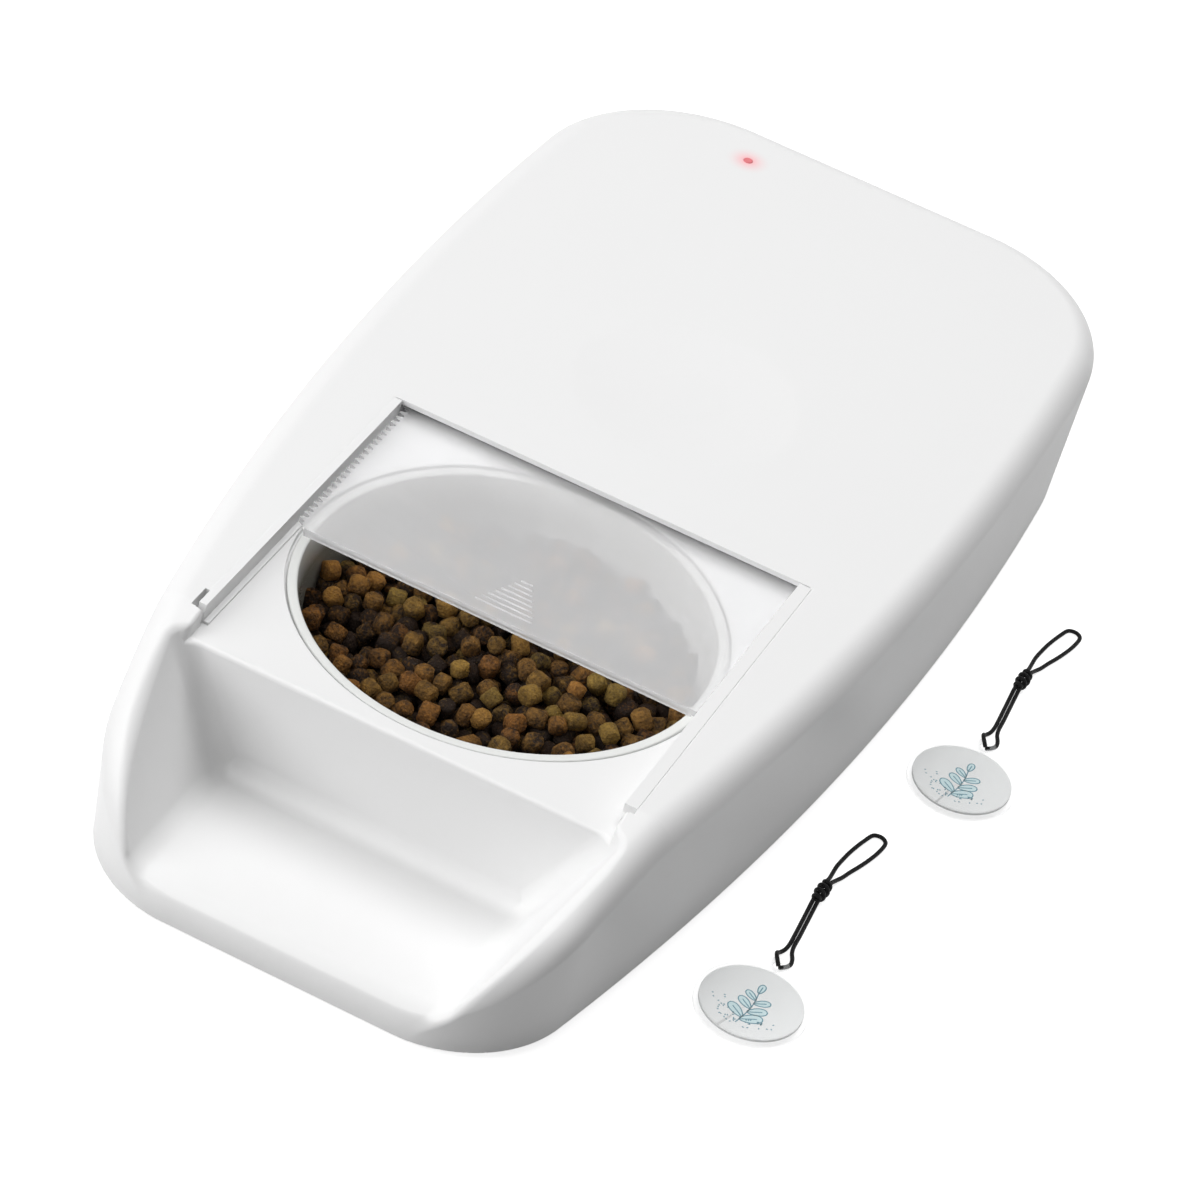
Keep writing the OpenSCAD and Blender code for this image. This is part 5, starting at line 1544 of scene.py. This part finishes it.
@dataclass
class Tag:
    """Round radio tag with a printed inlay and a looped lanyard."""

    suffix: str
    body: Body
    place: Point
    case_r: float = 18.0
    disc_r: float = 16.4
    print_z: float = 2.6
    lug_r: float = 3.6
    lug_z: float = 1.6
    lug_root: float = 1.2
    lug_drop: float = 0.06
    brim_r: float = 0.2
    hole_r: float = 1.8
    case_edge: float = 0.5
    card_t: float = 0.8
    dome_h: float = 1.4
    dome_foot: float = 0.5
    dome_steps: int = 12
    cord_sides: int = 14
    knot_turns: float = 3.6
    knot_steps: int = 110
    knot_start: float = 0.6
    knot_slim: float = 0.62
    knot_flat: float = 0.98
    ink_half: float = 0.19
    ink_h: float = 0.03
    wash_h: float = 0.012
    stem_foot: Point = (-0.6, -11.0)
    stem_bow: float = 1.4
    stem_l: float = 16.5
    leaf_l: float = 7.4
    leaf_w: float = 0.24
    leaf_taper: float = 0.06
    leaf_lean: float = 34.0
    leaf_corners: int = 28
    dashes: int = 46
    dash_half: float = 0.3
    seed: int = 5

    def node(self, name: str) -> str:
        """Name of one of this tag's CAD nodes."""
        return f"{name}_{self.suffix}"

    def at(self, points: Sequence[Vec]) -> Array:
        """Points of the tag's own frame in the feeder's frame."""
        return np.array(points, float) + np.array((*self.place, 0.0))

    def lanyard(self) -> Piece:
        path = [tuple(p) for p in self.at(catmull(LANYARD_ROUTE, 5))]
        cord = tube(self.node("braided_lanyard"), path, CORD_D / 2, self.cord_sides, BRAID_PER_MM)
        settle(cord, self.body, Slot.CORD, [self.node("lanyard")])
        knot = self.knot()
        return cord

    def knot(self) -> Piece:
        """Makes the wraps of the knot round the two strands."""
        radius = KNOT_Z - CORD_D / 2
        path = []
        for k in range(self.knot_steps + 1):
            part = k / self.knot_steps
            turn = 2 * math.pi * self.knot_turns * part + self.knot_start
            swell = radius * (self.knot_slim + (1 - self.knot_slim) * math.sin(math.pi * part))
            y = KNOT_Y + (part - 0.5) * (KNOT_LENGTH - CORD_D)
            path.append((KNOT_X + swell * math.cos(turn), y, KNOT_Z + swell * self.knot_flat * math.sin(turn)))
        points = [tuple(p) for p in self.at(path)]
        knot = tube(self.node("wrapped_knot"), points, CORD_D / 2 - 0.03, 12, BRAID_PER_MM)
        return settle(knot, self.body, Slot.CORD, [self.node("lanyard_knot")])

    def case_piece(self) -> Piece:
        """Makes the clear case: a shallow dish with a round edge and a lug for the cord."""
        radius, top, edge, card = self.case_r, self.print_z, self.case_edge, self.print_z - self.card_t
        profile = [(0.0, 0.0)] + arc(radius - edge, edge, edge, -90, 0, 4)
        profile += arc(radius - edge, top - edge, edge, 0, 90, 4)
        profile += arc(self.disc_r + self.brim_r, top - self.brim_r, self.brim_r, 90, 180, 2)
        profile += [(self.disc_r, card), (0.0, card)]
        case = lathe(self.node("clear_case"), profile, (*self.place, 0.0), 112)
        outline = [(x, radius - self.lug_root) for x in (-self.lug_r, self.lug_r)]
        outline += [(x, LUG_REACH + y) for x, y in arc(0, 0, self.lug_r, 0, 180, 24)]
        points = [(x, y, z) for z in (self.lug_z, top - self.lug_drop) for x, y in outline]
        cut(case, new_piece("lug_tool", self.at(points), prism_faces(len(outline))), "UNION")
        centre = (self.place[0], self.place[1] + LUG_REACH, 0.0)
        cut(case, rod_tool(self.hole_r, -1.0, 5.0, centre, 32))
        sharpen(case, 40)
        return settle(case, self.body, Slot.TAG, [self.node("tag_case")])

    def dome_piece(self) -> Piece:
        """Makes the clear resin dome over the print."""
        low, high, radius = self.print_z, self.print_z + self.dome_h, self.disc_r - 0.1
        profile = [(0.0, low), (radius - 0.1, low), (radius, low + 0.1), (radius, low + 0.3)]
        for k in range(self.dome_steps + 1):
            out = (radius - 0.1) * math.cos(math.pi / 2 * k / self.dome_steps)
            rise = (high - low - self.dome_foot) * (1 - (out / radius) ** 2)
            profile.append((out if k < self.dome_steps else 0.0, low + self.dome_foot + rise))
        dome = lathe(self.node("resin_dome"), profile, (*self.place, 0.0), 96)
        sharpen(dome, 50)
        return settle(dome, self.body, Slot.TAG, [self.node("tag_dome")])

    def leaves(self) -> list[list[Point]]:
        """Outlines of the leaves of a plain sprig, round the disc's centre."""
        out = []
        for k, (part, side) in enumerate(LEAF_PLACES):
            x0, y0 = self.stem_point(part)
            length = self.leaf_l - 0.5 * k
            lean = math.radians(self.leaf_lean if side else 90)
            leaf = []
            for turn in np.linspace(0, 2 * math.pi, self.leaf_corners + 1)[:-1]:
                u = (1 - math.cos(turn)) / 2 * length
                v = math.sin(turn) * length * (self.leaf_w - self.leaf_taper * math.cos(turn))
                along = u * math.cos(lean) - v * math.sin(lean)
                leaf.append((x0 + (side or 1) * along, y0 + u * math.sin(lean) + v * math.cos(lean)))
            out.append(leaf)
        return out

    def stem_point(self, part: float) -> Point:
        """Point of the sprig's stem."""
        x, y = self.stem_foot
        return self.stem_bow * math.sin(part * 2.6) + x, y + self.stem_l * part

    def strokes(self) -> list[list[Vec]]:
        """Lines of ink: stem, leaf edges, leaf ribs and a scatter of short dashes."""
        lines = [[(*self.stem_point(t), 0.0) for t in np.linspace(0, 1, 24)]]
        for leaf in self.leaves():
            lines.append([(x, y, 0.0) for x, y in leaf + leaf[:1]])
            tip, root = np.array(leaf[len(leaf) // 2]), np.array(leaf[0])
            lines.append([(*(root + (tip - root) * t), 0.0) for t in (0.05, 0.4, 0.75)])
        rng = np.random.default_rng(self.seed)
        for _ in range(self.dashes):
            turn, reach = rng.uniform(math.radians(196), math.radians(330)), rng.uniform(8.4, 12.6)
            x, y, lean = reach * math.cos(turn), reach * math.sin(turn) + 0.5, rng.uniform(0, math.pi)
            dx, dy = self.dash_half * math.cos(lean), self.dash_half * math.sin(lean)
            lines.append([(x - dx, y - dy, 0.0), (x, y, 0.0), (x + dx, y + dy, 0.0)])
        return lines

    def wash_piece(self) -> Piece:
        """Makes the pale fill of the leaves."""
        points: list[Vec] = []
        faces: list[tuple[int, ...]] = []
        for leaf in self.leaves():
            faces += prism_faces(len(leaf), len(points))
            clockwise = sum(x0 * y1 - x1 * y0 for (x0, y0), (x1, y1) in zip(leaf, leaf[1:] + leaf[:1])) < 0
            for z in (0.0, self.wash_h):
                points += [(x, y, self.print_z + z) for x, y in (leaf[::-1] if clockwise else leaf)]
        wash = new_piece(self.node("leaf_wash"), self.at(points), faces)
        return settle(wash, self.body, Slot.PRINT, finish=WASH)

    def print_piece(self) -> Piece:
        """Makes the card that the sprig is printed on."""
        top, radius, foot = self.print_z, self.disc_r - 0.05, self.print_z - self.card_t
        profile = [(0.0, foot), (radius, foot), (radius, top - 0.05), (radius - 0.05, top), (0.0, top)]
        card = lathe(self.node("printed_inlay"), profile, (*self.place, 0.0), 96)
        sharpen(card, 30)
        return settle(card, self.body, Slot.PRINT, [self.node("tag_inlay")])

    def ink_piece(self) -> Piece:
        """Makes the sprig's lines as flat strokes of ink."""
        points: list[Vec] = []
        faces: list[tuple[int, ...]] = []
        for line in self.strokes():
            p = np.array(line)
            heading = np.gradient(p[:, :2], axis=0)
            heading /= np.maximum(np.linalg.norm(heading, axis=1)[:, None], TINY)
            across = np.stack([-heading[:, 1], heading[:, 0]], axis=1) * self.ink_half
            start = len(points)
            for q, a in zip(p, across):
                for side, z in ((-1, 0.0), (1, 0.0), (1, self.ink_h), (-1, self.ink_h)):
                    points.append((q[0] + side * a[0], q[1] + side * a[1], self.print_z + z))
            for i in range(len(p) - 1):
                b = start + 4 * i
                for k in range(4):
                    n = (k + 1) % 4
                    faces.append((b + k, b + n, b + n + 4, b + k + 4))
            end = start + 4 * (len(p) - 1)
            faces += [(start + 3, start + 2, start + 1, start), (end, end + 1, end + 2, end + 3)]
        ink = new_piece(self.node("inlay_print"), self.at(points), faces)
        return settle(ink, self.body, Slot.PRINT, finish=INK)

    def build(self) -> None:
        """Makes the tag's own pieces."""
        self.case_piece()
        self.print_piece()
        self.wash_piece()
        self.ink_piece()
        self.dome_piece()
        self.lanyard()


# CAD nodes that are carried over


BEVELS_MM = {
    "sliding_lid": 0.12,
    "guide_rail_left": 0.03,
    "guide_rail_right": 0.03,
    "battery_door": 0.3,
    "open_button": 0.4,
    "learn_button": 0.4,
    "rubber_feet": 0.3,
    "base_plate": 0.2,
    "light_pipe": 0.2,
    "battery_cells": 0.4,
}


# Faces that meet at less are merged, and edges above the second angle are rounded
FLAT_DEGREES = 0.4
BEVEL_DEGREES = 35


class Dresser:
    """Finishes what the CAD carries over, and rebuilds what shows with softened edges."""

    def __init__(self, frame: dict) -> None:
        """Keeps the frame and reads each node's slot and body."""
        self.frame = frame
        self.slots = {s["node"]: Slot(s["material_slot"]) for s in frame["record"]["subparts"]}
        self.carriers = {empty.name: name for name, empty in frame["bodies"].items()}

    def rebuild(self, name: str, node: Piece, width_mm: float) -> None:
        """Makes a piece of a node's own form, with whole faces and rounded edges.

        Args:
            name: The CAD node.
            node: Its object.
            width_mm: Width of the rounding.
        """
        mesh = node.data.copy()
        mesh.transform(node.matrix_world)
        form = bmesh.new()
        form.from_mesh(mesh)
        bmesh.ops.remove_doubles(form, verts=form.verts[:], dist=TINY)
        flat = math.radians(FLAT_DEGREES)
        bmesh.ops.dissolve_limit(form, angle_limit=flat, verts=form.verts[:], edges=form.edges[:])
        bmesh.ops.recalc_face_normals(form, faces=form.faces[:])
        form.to_mesh(mesh)
        form.free()
        piece = bpy.data.objects.new(name + "_piece", mesh)
        bpy.context.scene.collection.objects.link(piece)
        sharpen(piece, 30)
        bevel = piece.modifiers.new("bevel", "BEVEL")
        bevel.width = width_mm * MM
        bevel.segments = 2
        bevel.limit_method = "ANGLE"
        bevel.angle_limit = math.radians(BEVEL_DEGREES)
        bevel.harden_normals = True
        bake_modifiers(piece)
        settle(piece, Body(self.carriers[node.parent.name]), self.slots[name], [name])

    def build(self) -> None:
        """Dresses every node and rebuilds those that show."""
        for name, node in self.frame["nodes"].items():
            material = Wardrobe.slot(self.slots[name])
            for entry in node.material_slots:
                entry.material = material
            if not node.material_slots:
                node.data.materials.append(material)
            if name in BEVELS_MM and not node.hide_render:
                self.rebuild(name, node, BEVELS_MM[name])
            else:
                log.info("%s: dressed as %s", name, material.name)


# Stage


@dataclass(frozen=True)
class SoftLight:
    """Round studio light that looks at the object from a direction."""

    name: str
    azimuth: float
    elevation: float
    power: float
    size: float = 1.2
    distance: float = 2.0
    reflected: bool = True

    def build(self, target: Vec) -> None:
        """Adds the light; azimuth 0 stands in front and 90 on the left."""
        turn, rise = math.radians(self.azimuth), math.radians(self.elevation)
        toward = Vector((-math.sin(turn) * math.cos(rise), -math.cos(turn) * math.cos(rise), math.sin(rise)))
        data = bpy.data.lights.new(self.name, "AREA")
        data.shape = "DISK"
        data.size = self.size
        data.energy = self.power
        lamp = bpy.data.objects.new(self.name, data)
        place = Matrix.Translation(Vector(target) + toward * self.distance)
        lamp.matrix_world = place @ (-toward).to_track_quat("-Z", "Y").to_matrix().to_4x4()
        lamp.visible_glossy = self.reflected
        lamp.visible_transmission = False
        bpy.context.scene.collection.objects.link(lamp)


SOFT_LIGHTS = (
    SoftLight("front_left_low", 45, 20, 18.5),
    SoftLight("front_left_high", 45, 50, 12.0),
    SoftLight("front", 0, 50, 3.5),
    SoftLight("rear_high", 180, 70, 26.0, reflected=False),
    SoftLight("rear_right", 225, 50, 3.4, reflected=False),
)


@dataclass
class Stage:
    """Camera, floor and soft studio light."""

    camera_at: Vec = (0.37556, -1.35515, 1.10187)
    right: Vec = (0.88436, 0.42035, 0.20301)
    down: Vec = (0.41122, -0.49572, -0.76496)
    ahead: Vec = (-0.22091, 0.75998, -0.61125)
    lens: float = 165.0
    target: Vec = (0.0, -0.02, 0.03)
    ambient: float = 0.03
    mirrored: float = 0.7
    floor_half: float = 4.0
    floor_light: float = 0.82

    def camera(self) -> None:
        """Places the camera as the photograph was taken."""
        data = bpy.data.cameras.new("camera")
        data.lens = self.lens
        data.sensor_width = 36.0
        data.clip_end = 50.0
        camera = bpy.data.objects.new("camera", data)
        right, up, back = Vector(self.right), -Vector(self.down), -Vector(self.ahead)
        turn = Matrix((right, up, back)).transposed().to_4x4()
        camera.matrix_world = Matrix.Translation(Vector(self.camera_at)) @ turn
        bpy.context.scene.collection.objects.link(camera)
        bpy.context.scene.camera = camera

    def light(self) -> None:
        """Adds the soft lights."""
        for lamp in SOFT_LIGHTS:
            lamp.build(self.target)

    def world(self) -> None:
        """White for the camera and for reflections, even grey light for the rest."""
        world = bpy.data.worlds.new("studio")
        world.use_nodes = True
        world.node_tree.nodes.clear()
        bench = Bench(world.node_tree)
        path = bench.add("ShaderNodeLightPath").outputs
        seen = bench.math("MAXIMUM", path["Is Camera Ray"], path["Is Transmission Ray"])
        glossy = bench.ramp(path["Is Glossy Ray"], 0.0, 1.0, self.ambient, self.mirrored)
        strength = bench.math("MAXIMUM", glossy, seen)
        back = bench.add("ShaderNodeBackground", {"Color": (1.0, 1.0, 1.0), "Strength": strength})
        bench.add("ShaderNodeOutputWorld", {"Surface": back.outputs[0]})
        bpy.context.scene.world = world

    def floor(self) -> None:
        """Adds a pale floor that shows white and keeps a faint shadow."""
        half = self.floor_half / MM
        middle = np.array(ROW_ORIGIN_MM)
        corners = [(x * half, y * half, 0.0) for x, y in ((-1, -1), (1, -1), (1, 1), (-1, 1))]
        floor = new_piece("floor", np.array(corners) + middle, [(0, 1, 2, 3)])
        material, bench, shader, place = start_material("floor_paper")
        paper = bench.blend(bench.noise(place, 40.0), (0.48, 0.48, 0.48), (0.52, 0.52, 0.52))
        bench.feed(shader, "Base Color", paper)
        bench.feed(shader, "Roughness", 0.9)
        bench.feed(shader, "Specular IOR Level", 0.1)
        path = bench.add("ShaderNodeLightPath").outputs
        mirrored = bench.math("MAXIMUM", path["Is Glossy Ray"], path["Is Transmission Ray"])
        seen = bench.math("MAXIMUM", path["Is Camera Ray"], mirrored)
        bench.feed(shader, "Emission Color", (1.0, 1.0, 1.0))
        bench.feed(shader, "Emission Strength", bench.math("MULTIPLY", seen, self.floor_light))
        wear(floor, material)

    def build(self) -> None:
        """Makes the stage."""
        self.camera()
        self.light()
        self.world()
        self.floor()
        bpy.context.scene.view_settings.view_transform = "Standard"


def main() -> None:
    """Builds the stage and the object's pieces in order."""
    logging.basicConfig(level=logging.INFO, format="%(message)s")
    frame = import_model()
    Stage().build()
    Housing(HousingForm()).build()
    Bowl().build()
    FoodHeap().build()
    Tag("a", Body.TAG_A, (135.0, 20.0)).build()
    Tag("b", Body.TAG_B, (122.0, -120.0)).build()
    Dresser(frame).build()


if __name__ == "__main__":
    main()
